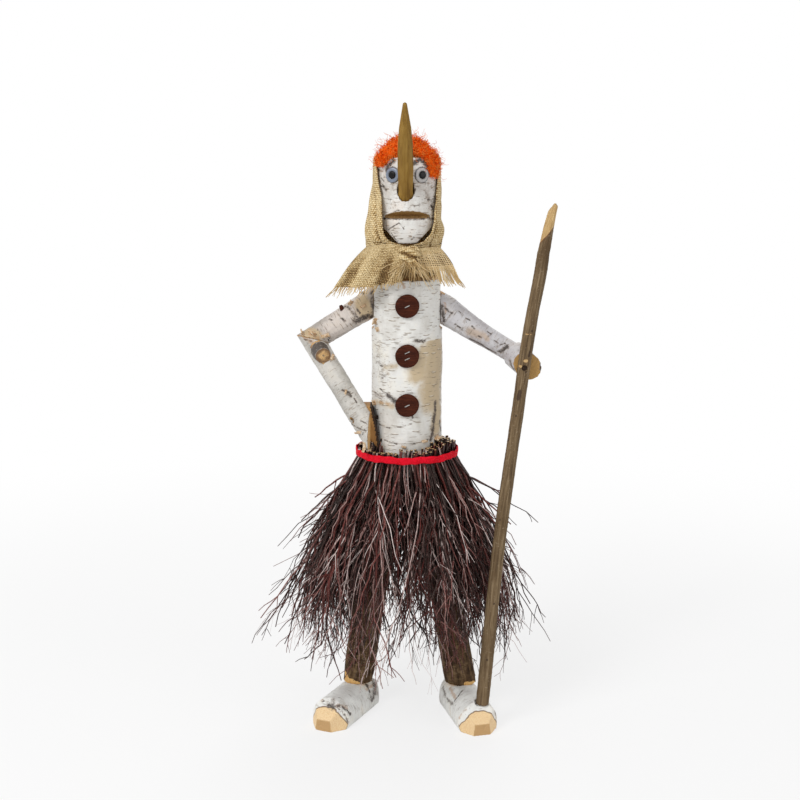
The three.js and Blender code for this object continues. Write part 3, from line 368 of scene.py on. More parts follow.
def birch_finish(name, paper, shade, cream, dash, core, fleck, patch, lens, peeled=(192, 168, 128),
                 pale=(226, 190, 134), deep=(196, 148, 88), sawn=(186, 142, 84)):
    """Birch: its paper in three tones, the strength of each kind of mark, then the wood under it."""
    r = Recipe(name)
    co = r.attribute("log", "Vector")
    ragged = r.noise(co, 130, 4, 0.6)
    fine = r.noise(co, 1, 3, 0.6, (300, 300, 700))
    rough_edge = r.weigh((ragged, 1.3), (fine, 1.1))
    rough_edge = r.calc("SUBTRACT", rough_edge, 1.22)
    cloud = r.noise(co, 20, 5, 0.6, (1, 1, 0.8))
    colour = r.ramp(cloud, (0.36, shade), (0.52, paper), (0.7, cream))
    streak = r.noise(co, 1, 4, 0.65, (26, 26, 760))
    colour = r.tint(colour, r.rise(streak, 0.52, 0.7), 0.4, shade)
    peel_line = r.calc("ADD", r.attribute("peel"), r.swing(ragged, 0.5))
    colour = r.tint(colour, r.rise(peel_line, 0.16, 0.66), 0.85, peeled)
    lens_in, lens_shadow = lenses(r, co, 0.027, 0.0062)
    colour = r.tint(colour, lens_in, 0.5 * lens, cream)
    # The lower rim is painted shadow under each raised lenticel.
    colour = r.tint(colour, lens_shadow, lens, (122, 96, 66))
    drift = r.noise(co, 26, 2)
    dashes = r.noise(co, 1, 1.0, 0.4, (84, 84, 430))
    dashes = r.calc("ADD", dashes, r.swing(drift, 0.35))
    line = r.rise(dashes, 0.655, 0.7)
    colour = r.tint(colour, line, dash, (158, 142, 124))
    colour = r.tint(colour, r.rise(dashes, 0.73, 0.78), core, DASH_CORE)
    dots = r.noise(co, 1, 2, 0.5, (330, 330, 420))
    colour = r.tint(colour, r.rise(dots, 0.68, 0.74), fleck, (84, 74, 68))
    blotch = r.noise(co, 1, 5, 0.62, (38, 38, 62))
    scab = r.rise(blotch, 0.74 - 0.16 * patch, 0.77 - 0.16 * patch)
    colour = r.tint(colour, scab, min(1.0, patch * 2), BLACK_BARK)
    stain = r.calc("ADD", r.attribute("stain"), rough_edge)
    colour = r.tint(colour, r.rise(stain, 0.3, 0.9), 0.6, (186, 142, 100))
    wood, grain = cut_wood(r, co, pale, deep)
    wood = r.tint(wood, r.attribute("sawn"), 0.8, sawn)
    edge = r.calc("ADD", r.attribute("bark"), r.swing(ragged, 0.5))
    rim = r.calc("MULTIPLY", r.rise(edge, 0.26, 0.44), r.rise(edge, 0.78, 0.58))
    colour = r.mix(r.rise(edge, 0.44, 0.56), wood, colour)
    colour = r.tint(colour, rim, 0.9, INNER_BARK)
    # Marks are scars, cracks and brows, and on the head also painted shade round the eyes and in the mouth's
    # kerf.
    mark = r.calc("ADD", r.attribute("mark"), rough_edge)
    colour = r.tint(colour, r.rise(mark, 0.25, 0.6), 0.45, (150, 132, 114))
    colour = r.tint(colour, r.rise(mark, 0.5, 0.85), 0.9, BLACK_BARK)
    dents = r.calc("ADD", scab, r.rise(mark, 0.4, 0.7))
    height = r.weigh((streak, 0.7), (line, -0.8), (lens_in, 1.2 * lens), (dents, -1.0), (ragged, 0.8),
                     (grain, 0.3))
    rough = r.add("MapRange", {"Value": cloud, "To Min": 0.5, "To Max": 0.72}).outputs["Result"]
    return r.done(colour, rough, r.bump(height, 0.0007, 0.8))


WHITE, CREAM = (230, 229, 225), (238, 233, 221)
finishes = {
    "torso": birch_finish("birch_torso", WHITE, (204, 200, 192), CREAM, 0.45, 0.4, 0.25, 0.1, 0.85),
    "head": birch_finish("birch_head", WHITE, (196, 188, 180), (234, 222, 210), 0.9, 0.8, 0.6, 0.34, 0.5,
                         pale=(172, 138, 84), deep=(126, 94, 52)),
    "upper_arm": birch_finish("birch_upper_arm", (208, 198, 190), (168, 160, 152), (220, 208, 192),
                              0.6, 0.6, 0.8, 0.7, 0.6),
    "forearm": birch_finish("birch_forearm", (206, 202, 195), (172, 168, 160), (216, 208, 194),
                            0.6, 0.6, 1.0, 0.46, 0.4),
    "left_arm": birch_finish("birch_left_arm", (208, 206, 208), (176, 170, 172), (206, 198, 192),
                             0.4, 0.6, 1.0, 0.5, 0.3, pale=(192, 150, 84), deep=(160, 114, 56),
                             sawn=(182, 142, 80), peeled=(190, 170, 152)),
    "shoe": birch_finish("birch_shoe", (246, 246, 242), (222, 220, 216), (240, 232, 218),
                         0.35, 0.4, 0.5, 0.3, 0.3, pale=(250, 222, 176), deep=(236, 196, 142),
                         sawn=(184, 142, 88)),
}
print("birch finishes:", ", ".join(finishes))

# %% [markdown]
# ## Dark bark, the staff's bark and hewn wood
# The legs keep a rough furrowed bark, nearly black in the cracks. The staff has a smooth grey-brown bark
# with fine lines along it. The nose has no bark at all: it is whittled, and its grain runs to the tip.

# %% Other wood finishes
def leg_finish():
    r = Recipe("furrowed_bark")
    co = r.attribute("log", "Vector")
    ragged = r.noise(co, 150, 4, 0.6)
    furrow = r.noise(co, 1, 6, 0.66, (150, 150, 40))
    scratch = r.noise(co, 1, 5, 0.66, (90, 90, 420))
    colour = r.ramp(furrow, (0.36, (36, 25, 16)), (0.5, (84, 64, 45)), (0.66, (132, 108, 80)))
    colour = r.tint(colour, r.rise(scratch, 0.52, 0.64), 0.6, (42, 30, 20))
    colour = r.tint(colour, r.rise(scratch, 0.44, 0.36), 0.5, (140, 120, 90))
    cloud = r.noise(co, 24, 3)
    colour = r.tint(colour, r.rise(cloud, 0.5, 0.7), 0.3, (98, 76, 52))
    wood, _ = cut_wood(r, co, (236, 196, 132), (202, 148, 82))
    edge = r.calc("ADD", r.attribute("bark"), r.swing(ragged, 0.6))
    colour = r.mix(r.rise(edge, 0.46, 0.54), wood, colour)
    height = r.calc("ADD", furrow, r.calc("MULTIPLY", scratch, 0.3))
    return r.done(colour, 0.9, r.bump(height, 0.002, 0.8), specular_ior_level=0.15)


def staff_finish():
    r = Recipe("staff_bark")
    co = r.attribute("log", "Vector")
    ragged = r.noise(co, 170, 4, 0.6)
    line = r.noise(co, 1, 5, 0.6, (330, 330, 20))
    cloud = r.noise(co, 1, 4, 0.6, (40, 40, 12))
    colour = r.ramp(line, (0.3, (72, 56, 40)), (0.52, (114, 94, 68)), (0.74, (150, 130, 102)))
    colour = r.tint(colour, r.rise(cloud, 0.46, 0.66), 0.6, (88, 68, 46))
    pore = r.noise(co, 1, 2, 0.5, (260, 260, 420))
    colour = r.tint(colour, r.rise(pore, 0.63, 0.7), 0.5, (154, 136, 112))
    mark = r.calc("ADD", r.attribute("mark"), r.swing(ragged, 0.6))
    colour = r.tint(colour, r.rise(mark, 0.35, 0.65), 0.85, (66, 50, 40))
    wood, _ = cut_wood(r, co, (214, 184, 132), (168, 132, 84))
    edge = r.calc("ADD", r.attribute("bark"), r.swing(ragged, 0.3))
    rim = r.calc("MULTIPLY", r.rise(edge, 0.3, 0.46), r.rise(edge, 0.8, 0.58))
    colour = r.mix(r.rise(edge, 0.46, 0.54), wood, colour)
    colour = r.tint(colour, rim, 0.7, (120, 76, 48))
    height = r.calc("ADD", line, r.calc("MULTIPLY", ragged, 0.4))
    return r.done(colour, 0.8, r.bump(height, 0.0008, 0.7), specular_ior_level=0.2)


def whittled_finish(name, deep, mid, pale):
    r = Recipe(name)
    co = r.attribute("log", "Vector")
    fibre = r.noise(co, 1, 5, 0.62, (420, 420, 14))
    cloud = r.noise(co, 1, 3, 0.5, (50, 50, 16))
    tone = r.weigh((fibre, 0.5), (cloud, 0.5))
    colour = r.ramp(tone, (0.34, deep), (0.5, mid), (0.68, pale))
    knot = r.rise(r.noise(co, 1, 2, 0.5, (60, 60, 24)), 0.66, 0.74)
    colour = r.tint(colour, knot, 0.5, (104, 74, 38))
    colour = r.mix(r.rise(r.attribute("mark"), 0.3, 0.7), colour, (52, 38, 28))
    return r.done(colour, 0.7, r.bump(fibre, 0.0008, 0.5), specular_ior_level=0.2)


finishes["leg"] = leg_finish()
finishes["staff"] = staff_finish()
finishes["nose"] = whittled_finish("whittled_wood", (104, 74, 28), (142, 108, 46), (172, 138, 72))
finishes["split"] = whittled_finish("split_wood", (142, 98, 54), (184, 142, 88), (208, 172, 118))
print("wood finishes:", ", ".join(finishes))

# %% [markdown]
# ## From a CAD solid to a log
# A CAD log has flat faces and few points. A copy is remeshed to an even grid, every point is pulled back to
# the CAD surface, and then the bark's lumps and ridges push it in or out by less than a millimetre. The
# same points get the attributes that the finishes read. Noise on a lattice is written here in a few lines,
# so that the relief is the same in every run.

# %% Noise and mesh helpers
def lattice_noise(points, seed):
    """Smooth noise from -1 to 1 for each row of points."""
    cell = np.floor(points).astype(np.int64)
    part = points - cell
    part = part * part * (3 - 2 * part)
    total = np.zeros(len(points))
    for corner in range(8):
        step = np.array([corner & 1, corner >> 1 & 1, corner >> 2 & 1])
        key = (cell + step) * np.array([73856093, 19349663, 83492791])
        mixed = (key[:, 0] ^ key[:, 1] ^ key[:, 2] ^ (seed * 1013904223)) & 0xFFFFFFFF
        mixed = ((mixed ^ (mixed >> 15)) * 739982445) & 0xFFFFFFFF
        mixed = ((mixed ^ (mixed >> 13)) * 1274126177) & 0xFFFFFFFF
        value = ((mixed ^ (mixed >> 16)) & 0xFFFF) / 32767.5 - 1
        total += value * np.prod(np.where(step, part, 1 - part), axis=1)
    return total


def smooth(value, low, high):
    t = np.clip((value - low) / (high - low), 0, 1)
    return t * t * (3 - 2 * t)


def link(name, mesh):
    piece = bpy.data.objects.new(name, mesh)
    scene.collection.objects.link(piece)
    return piece


def plain_mesh(piece):
    """Replaces a piece's mesh by what its modifiers make of it."""
    made = bpy.data.meshes.new_from_object(piece.evaluated_get(bpy.context.evaluated_depsgraph_get()))
    piece.modifiers.clear()
    piece.data = made
    return piece


def points_of(mesh):
    flat = np.zeros(len(mesh.vertices) * 3)
    mesh.vertices.foreach_get("co", flat)
    return flat.reshape(-1, 3)


def normals_of(mesh):
    flat = np.zeros(len(mesh.vertices) * 3)
    mesh.vertex_normals.foreach_get("vector", flat)
    return flat.reshape(-1, 3)


def set_points(mesh, points):
    mesh.vertices.foreach_set("co", points.ravel())
    mesh.update()


def store(mesh, name, values):
    kind = "FLOAT_VECTOR" if values.ndim == 2 else "FLOAT"
    field = "vector" if values.ndim == 2 else "value"
    layer = mesh.attributes.new(name, kind, "POINT")
    layer.data.foreach_set(field, values.astype(np.float32).ravel())


print("noise and mesh helpers ready")


# %% Log tools
def remeshed(node, name, voxel):
    """A copy of a CAD node on an even grid, pulled back to the CAD surface."""
    mesh = nodes[node].data.copy()
    loose = bmesh.new()
    loose.from_mesh(mesh)
    bmesh.ops.remove_doubles(loose, verts=loose.verts, dist=1e-6)
    loose.to_mesh(mesh)
    loose.free()
    mesh.materials.clear()
    piece = link(name, mesh)
    even = piece.modifiers.new("even", "REMESH")
    even.mode = "VOXEL"
    even.voxel_size = voxel
    plain_mesh(piece)
    near = surface_of(node)
    points = points_of(piece.data)
    set_points(piece.data, np.array([near.find_nearest(p)[0] for p in points]))
    piece.data.polygons.foreach_set("use_smooth", [True] * len(piece.data.polygons))
    return piece


def along_path(points, path):
    """For each point: its place across the path, twice, and along it, with the path's direction there."""
    best = np.full(len(points), 1e9)
    local = np.zeros((len(points), 3))
    heading = np.zeros((len(points), 3))
    start = 0.0
    for a, b in zip(path[:-1], path[1:]):
        length = np.linalg.norm(b - a)
        way = (b - a) / length
        front = np.array([0, -1, 0]) - way * np.dot([0, -1, 0], way)
        front /= np.linalg.norm(front)
        side = np.cross(way, front)
        offset = points - a
        t = offset @ way
        low = -1e9 if a is path[0] else 0
        high = 1e9 if b is path[-1] else length
        held = np.clip(t, low, high)
        across = offset - held[:, None] * way
        reach = np.linalg.norm(across, axis=1)
        hit = reach < best
        best[hit] = reach[hit]
        local[hit] = np.stack([offset @ front, offset @ side, start + held], axis=1)[hit]
        heading[hit] = way
        start += length
    return local, heading


def centred(points, path, bins=30):
    """The path moved to the middle of the points round it, for a bowed branch."""
    local, _ = along_path(points, path)
    along = local[:, 2]
    edges = np.linspace(along.min(), along.max(), bins + 1)
    return np.array([points[(along >= a) & (along < b)].mean(axis=0) for a, b in zip(edges, edges[1:])])


def bark_share(local, heading, normals, keep, radius):
    """1 where a point lies on the round outside of the log, 0 where the saw or the knife has been."""
    reach = np.hypot(local[:, 0], local[:, 1])
    place = (local[:, 2] - local[:, 2].min()) / np.ptp(local[:, 2])
    full = MM * (radius[0] + (radius[1] - radius[0]) * place)
    share = smooth(reach / full, keep - 0.03, keep + 0.01)
    return share * smooth(np.abs(np.sum(normals * heading, axis=1)), 0.62, 0.45)


print("log tools ready")

# %% [markdown]
# ## Marks on the bark
# Scars, cracks, the brow lines over the eyes and the peeled area cannot come from noise, because they have
# a place, and nor can the shade painted round the eyes and along the mouth's kerf. Each is a short line in
# picture pixels. It is thrown through the camera onto the CAD log, so it lies on the bark from every side,
# and every point of the log gets a value that falls off with distance.

# %% Paint marks
PIXEL = 0.0016  # of a picture pixel at the figure, in metres


def thrown(node, pixels):
    """The points of a CAD node at several pixels, without those where it does not show."""
    found = [seen_on(node, *p) for p in pixels]
    return [np.array(p) for p in found if p is not None]


def distance_to(points, line):
    """Distance of each point to a line of points."""
    if len(line) == 1:
        return np.linalg.norm(points - line[0], axis=1)
    best = np.full(len(points), 1e9)
    for a, b in zip(line[:-1], line[1:]):
        way = b - a
        t = np.clip(((points - a) @ way) / max(way @ way, 1e-12), 0, 1)
        best = np.minimum(best, np.linalg.norm(points - a - t[:, None] * way, axis=1))
    return best


def painted(node, points, strokes):
    """The strongest of several strokes at each point: width in pixels, strength if not 1, then pixels."""
    value = np.zeros(len(points))
    for width, *pixels in strokes:
        strength = 1.0 if isinstance(pixels[0], tuple) else pixels.pop(0)
        line = thrown(node, pixels)
        if line:
            half_width = width * PIXEL
            value = np.maximum(value, strength - 0.5 * distance_to(points, line) / half_width)
    return np.clip(value, 0, 1)


print("a pixel is", PIXEL / MM, "mm wide at the figure")

# %% List the marks
marks_and_shade = {
    "torso": [
        (1.8, (416, 341), (425, 341)), (2.6, (436, 403), (435, 416), (433, 430), (431, 440)),
        (2.8, (387, 395), (394, 400), (397, 403)), (0.9, (372, 384), (380, 389), (388, 395)),
        (8, 0.5, (374, 392), (382, 398)), (4, 0.5, (436, 438), (441, 432)), (2.0, (440, 421), (441, 430)),
        (0.7, (379, 424), (388, 428), (400, 427), (412, 424)),
        (0.9, (384, 440), (396, 444), (414, 444), (428, 440)), (0.9, (412, 414), (413, 418)),
        (1.1, (412, 281), (420, 280), (430, 281)), (0.9, (373, 300), (373, 306)),
        (0.6, (385, 295), (391, 295)), (0.5, (380, 366), (387, 366)), (0.5, (430, 326), (437, 326)),
        (18, 0.52, (378, 352), (383, 376)),
    ],
    "head": [
        (1.9, (386, 171), (388, 166), (394, 160)), (2.8, (414, 163), (420, 160), (426, 163), (429, 171)),
        (6, 0.4, (425, 190), (430, 206)), (1.6, (383, 186), (386, 190)),
        (2.2, 0.7, (432, 204), (434, 212)), (0.9, (411, 197), (414, 193), (415, 189)),
        (0.8, (399, 195), (403, 199), (408, 199)), (0.6, (388, 230), (394, 226), (399, 223), (404, 229)),
        (0.5, (391, 233), (395, 239), (398, 241)), (1.1, (431, 205), (433, 209)),
        (0.7, (381, 178), (384, 182)), (0.5, (396, 189), (400, 191)), (0.6, (381, 186), (385, 187)),
        (0.5, (424, 198), (430, 200)), (0.5, (393, 212), (400, 210)),
        (9, 0.44, (391, 204), (407, 207), (425, 203)), (0.5, (414, 206), (420, 205)),
        (0.5, (388, 199), (393, 200)),
        # A dark line along the mouth's kerf: painted shade in the gap.
        (1.3, (384, 218.5), (396, 218.8), (409, 219), (422, 218.8), (434, 218.5)),
        # Two wide weak strokes round the eyes: painted shade under the hood.
        (11, 0.5, (386, 172), (392, 184)), (11, 0.5, (412, 172), (428, 184)),
        (8, 0.5, (426, 192), (432, 204)),
    ],
    "right_upper_arm": [
        (1.9, (352, 311), (357, 317)), (2.8, (355, 321), (364, 317)), (1.7, (345, 306), (350, 309)),
        (2.4, (367, 315), (371, 317)), (1.1, (341, 318), (345, 321)), (1.4, (357, 290), (366, 293)),
        (0.9, (329, 319), (332, 320)), (1.1, (357, 309), (360, 313)),
        (0.8, (341, 300), (349, 295), (356, 290)), (2.4, (372, 292), (373, 306), (372, 318)),
        (0.7, (320, 319), (323, 318)), (3.4, (356, 322), (366, 318), (372, 316)),
    ],
    "right_forearm": [
        (1.6, (343, 390), (349, 393), (351, 396)), (1.2, (301, 345), (306, 352), (311, 358)),
        (0.9, (352, 424), (358, 428), (366, 431)), (1.1, (352, 430), (356, 434)),
        (0.8, (361, 421), (366, 423)), (0.8, (298, 337), (306, 340), (318, 343), (328, 344)),
        (0.7, (354, 398), (357, 403)), (1.6, (299, 344), (306, 355), (312, 362)),
        (2.4, 0.8, (353, 432), (356, 438)),
    ],
    "left_arm": [
        (2.0, (442, 306), (443, 314), (444, 321)), (1.4, (445, 308), (451, 313)),
        (1.2, (446, 320), (452, 313)), (2.2, (500, 352), (505, 349), (508, 346)),
        (1.8, (470, 339), (478, 343), (486, 348), (495, 353)), (0.7, (466, 318), (470, 320)),
        (0.6, (487, 331), (491, 334)), (0.7, (478, 336), (482, 338)), (0.8, (500, 345), (506, 343)),
        (0.6, (458, 310), (461, 313)), (0.8, (472, 326), (475, 329)), (0.6, (494, 340), (498, 343)),
        (0.9, (455, 324), (460, 328)), (7, 0.45, (462, 330), (478, 338)),
    ],
    "left_hand": [
        (2.0, (533, 353), (539, 358)), (1.4, (541, 364), (541, 370)), (2.4, (510, 362), (513, 369)),
    ],
    "right_shoe": [
        (3.0, (329, 705), (333, 707)), (1.6, (316, 702), (323, 701)), (2.4, (338, 706), (345, 709)),
        (1.8, (347, 710), (350, 714)), (0.5, (338, 697), (344, 700)), (4, 0.6, (332, 700), (346, 706)),
        (5, 0.7, (372, 680), (375, 690), (370, 698)), (2.0, (366, 684), (370, 692)),
        (3.4, 0.85, (374, 683), (376, 692), (372, 700)), (1.8, 0.8, (339, 709), (346, 717), (348, 722)),
    ],
    "left_shoe": [
        (0.9, (454, 701), (458, 696), (463, 690)), (1.6, (488, 702), (494, 708)),
        (1.4, (490, 695), (496, 700)), (3, 0.7, (443, 688), (446, 698), (452, 704)),
        (2.2, 0.8, (491, 705), (495, 711), (496, 718)),
    ],
    "staff": [
        (1.3, (532, 331)), (1.2, (508, 440)), (1.1, (494, 604)), (1.2, (487, 660)), (1.1, (526, 372)),
        (1.2, (541, 268)), (1.0, (500, 520)), (1.0, (516, 416)), (1.0, (490, 564)),
        (2.2, (520, 392), (518, 398)), (1.6, (547, 246), (546, 250)), (1.2, (536, 277)),
        (1.3, (530, 352), (529, 356)),
    ],
}
stains = {
    "torso": [(1.8, (403, 284), (404, 287)), (1.8, (441, 421), (442, 424)), (1.6, (380, 402), (392, 405))],
    "right_upper_arm": [(2.0, (310, 333), (318, 338)), (1.6, (338, 303))],
    "right_forearm": [
        (3.0, (355, 432), (360, 440)), (2.2, (305, 338), (312, 342)), (2.0, (331, 356), (334, 358)),
    ],
    "right_shoe": [
        (2.6, (338, 706), (347, 708)), (2.0, (366, 690), (374, 684)), (1.6, (313, 702), (322, 700)),
    ],
    "left_shoe": [
        (2.0, (450, 688), (455, 698)), (1.8, (492, 704), (499, 716)), (1.4, (459, 718), (466, 710)),
    ],
    "left_arm": [(1.4, (445, 303), (446, 312))],
}
peels = {
    "torso": [
        (14, (436, 349), (434, 376), (433, 398)), (10, 0.9, (420, 358), (418, 374)),
        (8, (438, 410), (437, 426)), (6, 0.6, (378, 402), (392, 406)), (8, 0.5, (396, 366), (384, 368)),
        (12, 0.34, (382, 360), (388, 374)), (6, 0.8, (423, 350), (432, 348)),
    ],
    "left_arm": [(5, 0.85, (470, 332), (480, 335)), (3, 0.85, (484, 335), (487, 339))],
    "right_upper_arm": [(7, (362, 302), (366, 312)), (5, (308, 332), (316, 336))],
}
chips = {
    "right_leg": [
        (3.8, (346, 681), (352, 683)), (2.2, (345, 673), (347, 678)), (2.0, (356, 683), (358, 684)),
    ],
    "left_leg": [(2.2, (466, 684), (474, 683))],
    "staff": [
        (1.3, (525, 361), (527, 361)), (1.2, (519.5, 366), (521, 366.5)), (0.6, (525, 334), (531, 334.6)),
    ],
}
print("marks for", ", ".join(marks_and_shade))

# %% [markdown]
# ## The logs
# Each log is listed with the path of its middle and its radius at both ends, in millimetres, then how fine
# its grid is and how rough its bark. The two bowed branches start from a rough path that is then moved to
# their middle. A sawn branch stub stands on the right elbow, so its end and its dark flank are named too.

# %% List the logs
SHAPES = {
    "torso": dict(path=[(0, 0, 408), (0, 0, 721)], radius=(56, 56), grid=1.9, lump=0.9, ridge=0.35,
                  finish="torso", keep=0.975),
    "head": dict(path=[(0, 0, 776), (0, 0, 908)], radius=(48, 48), grid=1.5, lump=0.6, ridge=0.3,
                 finish="head", keep=0.97),
    "right_upper_arm": dict(path=[(-52.3, 0, 682), (-150.3, 0, 621)], radius=(24.5, 19.5), grid=1.4, lump=0.7,
                            ridge=0.3, finish="upper_arm", keep=0.84),
    "right_forearm": dict(path=[(-150.3, 0, 621), (-43.4, -62.6, 457)], radius=(19, 17), grid=1.4, lump=0.7,
                          ridge=0.3, finish="forearm", keep=0.8),
    "hip_block": dict(path=[(-50, -20, 446), (-74, -20, 520)], radius=(90, 90), grid=1.1, lump=0.4, ridge=0.0,
                      finish="split", keep=0.9),
    "left_arm": dict(path=[(40, 0, 676), (104, -7, 639), (168, -22, 602)], radius=(23, 17), grid=1.4,
                     lump=0.6, ridge=0.25, finish="left_arm", keep=0.6, bowed=True),
    "left_hand": dict(path=[(168.3, -22, 602), (187.3, -60, 587.9)], radius=(20.5, 20.5), grid=1.4, lump=0.6,
                      ridge=0.3, finish="left_arm", keep=0.86),
    "staff": dict(path=[(121.5, -85, 40), (146, -78, 314), (180.7, -71.3, 588), (197, -67.5, 739),
                        (220, -65, 840)],
                  radius=(10.8, 9.9), grid=1.4, lump=0.5, ridge=0.2, finish="staff", keep=0.84, bowed=True),
    "right_leg": dict(path=[(-29, 0, 408), (-82, 12, 43)], radius=(26.5, 25), grid=1.9, lump=1.2, ridge=1.1,
                      finish="leg", keep=0.88),
    "left_leg": dict(path=[(29, 0, 408), (90, 4, 43)], radius=(26.5, 25), grid=1.9, lump=1.2, ridge=1.1,
                     finish="leg", keep=0.88),
    "right_shoe": dict(path=[(-69.3, 39.2, 13), (-134.4, -100.4, 13)], radius=(33, 33), grid=1.4, lump=0.6,
                       ridge=0.25, finish="shoe", keep=0.955),
    "left_shoe": dict(path=[(82.7, 33.1, 13), (120, -116.3, 13)], radius=(33, 33), grid=1.4, lump=0.6,
                      ridge=0.25, finish="shoe", keep=0.955),
    "nose": dict(path=[(-2.2, -30.6, 842.7), (-4.3, -161.1, 987.6)], radius=(13, 13), grid=1.1, lump=0.35,
                 ridge=0.0, finish="nose", keep=0.2),
}
print(len(SHAPES), "logs listed")

# %% Logs with a shape of their own
STUB_END, STUB_WAY, STUB_RADIUS = at(-131.8, -36.8, 600.4), np.array([0.318, -0.908, -0.273]), 13.5 * MM
STUB_FLANK = (0.0205, 0.0225)  # metres from the forearm's axis over which the stub's dark flank begins


def stub_bark(points, normals, local, bark, mark):
    """Bares the sawn end of the elbow's branch stub and darkens its flank."""
    near = np.linalg.norm(points - STUB_END, axis=1)
    sawn = smooth(near, 1.1 * STUB_RADIUS, 0.85 * STUB_RADIUS) * smooth(normals @ STUB_WAY, 0.6, 0.8)
    flank = smooth(np.hypot(local[:, 0], local[:, 1]), *STUB_FLANK) * (1 - sawn)
    ring = 0.3 + 0.16 * smooth(near, 0.3 * STUB_RADIUS, 0.95 * STUB_RADIUS)
    heart = 0.7 * smooth(near, 0.32 * STUB_RADIUS, 0.12 * STUB_RADIUS)
    bark = np.maximum(bark, flank) * (1 - sawn) + ring * sawn
    return bark, np.maximum(mark, 0.92 * flank + heart * sawn)


# Heights where the knife bared the staff and where it bends, and how far it bends, in millimetres.
STAFF_BARE = dict(left=778, right=810, soft=6, bend=6.6, grip=590, bow=740, tip=842)
STAFF_HALF = 0.009  # metres from the staff's axis to the sides that the knife reached


def staff_shape(points, local):
    """The staff's points with its upper part made nearly straight, and where bark is left on it."""
    height = points[:, 2] / MM
    grip, bow, tip = (STAFF_BARE[key] for key in ("grip", "bow", "tip"))
    rise = smooth(height, grip, bow) * smooth(height, tip, bow)
    moved = points + np.array([STAFF_BARE["bend"] * MM, 0, 0]) * rise[:, None]
    lean = np.clip(local[:, 1] / STAFF_HALF, -1, 1)
    knife = STAFF_BARE["left"] + (STAFF_BARE["right"] - STAFF_BARE["left"]) * (0.5 + 0.5 * lean)
    return moved, smooth(height, knife + STAFF_BARE["soft"], knife - STAFF_BARE["soft"])


# How far bark runs over the toe's cuts, above and at the sides, in millimetres, and how arched its edge is.
TOE_BARK, TOE_SIDE, TOE_ARCH = 9.0, 14.0, 0.7
SHOE_MIDDLE, SHOE_RADIUS = 13, 33


def toe_bark(points, local, normals, bark):
    """Bark that runs on over the toe's cuts to an uneven arch, and low at the sides ends at the cuts."""
    high = points[:, 2] / MM - SHOE_MIDDLE
    aside = np.sum((local[:, :2] / MM) ** 2, axis=1) - high ** 2
    arch = TOE_ARCH * (SHOE_RADIUS - np.sqrt(np.maximum(0, SHOE_RADIUS ** 2 - aside)))
    upper = smooth(normals[:, 2], 0.25, 0.6)
    reach = upper * (TOE_BARK + arch) + (1 - upper) * TOE_SIDE * smooth(high, -10, 20)
    along = local[:, 2]
    edge = np.quantile(along[bark > 0.5], 0.995) / MM + reach + 1.4 * lattice_noise(local * 140, 4)
    return np.maximum(bark, smooth(along / MM, edge, edge - 7) * (normals[:, 2] > -0.5))


# The hip block in millimetres: its depth, its slanted edge at the torso, and where it widens and lowers.
BLOCK = dict(back=-3, front=-33, deeper=12, edge=-56, level=505, lean=math.tan(math.radians(12)),
             wider=(4.5, 15), widens=(500, 458), bark=4.0, lower=19, lowers=(488, 452))


def to_forearm(points):
    """The hip block made deeper in front and wider, mostly at its foot, and the bark left on its edge."""
    x, y, z = (points / MM - TORSO_AXIS).T
    edge = BLOCK["edge"] + (BLOCK["level"] - z) * BLOCK["lean"]
    upper, lower = BLOCK["wider"]
    wider = upper + (lower - upper) * smooth(z, *BLOCK["widens"])
    x = x - wider * smooth(edge - x, 0, 10) + BLOCK["bark"] * smooth(edge - x, 8, 0)
    y = y - BLOCK["deeper"] * np.clip((BLOCK["back"] - y) / (BLOCK["back"] - BLOCK["front"]), 0, 1)
    bark = smooth(x - edge, 0.2, 1.4)
    z = z - BLOCK["lower"] * smooth(z, *BLOCK["lowers"])
    return (np.stack([x, y, z], axis=1) + TORSO_AXIS) * MM, bark


print("staff bent by", STAFF_BARE["bend"], "mm, hip block", BLOCK["deeper"], "mm deeper")

# %% Build the logs
# Points nearer the head's axis than this are in the bore for the neck peg, and they give way by the play.
NECK_BORE, NECK_PLAY = 16.5, 0.8
PEEL_TOP = 627  # height of the clean edge where the torso's paper was pulled off
# Distances from the torso's axis over which the left arm's bark begins and ends, in metres.
ARM_BARK_FROM, ARM_BARK_TO = (0.059, 0.061), (0.15, 0.14)


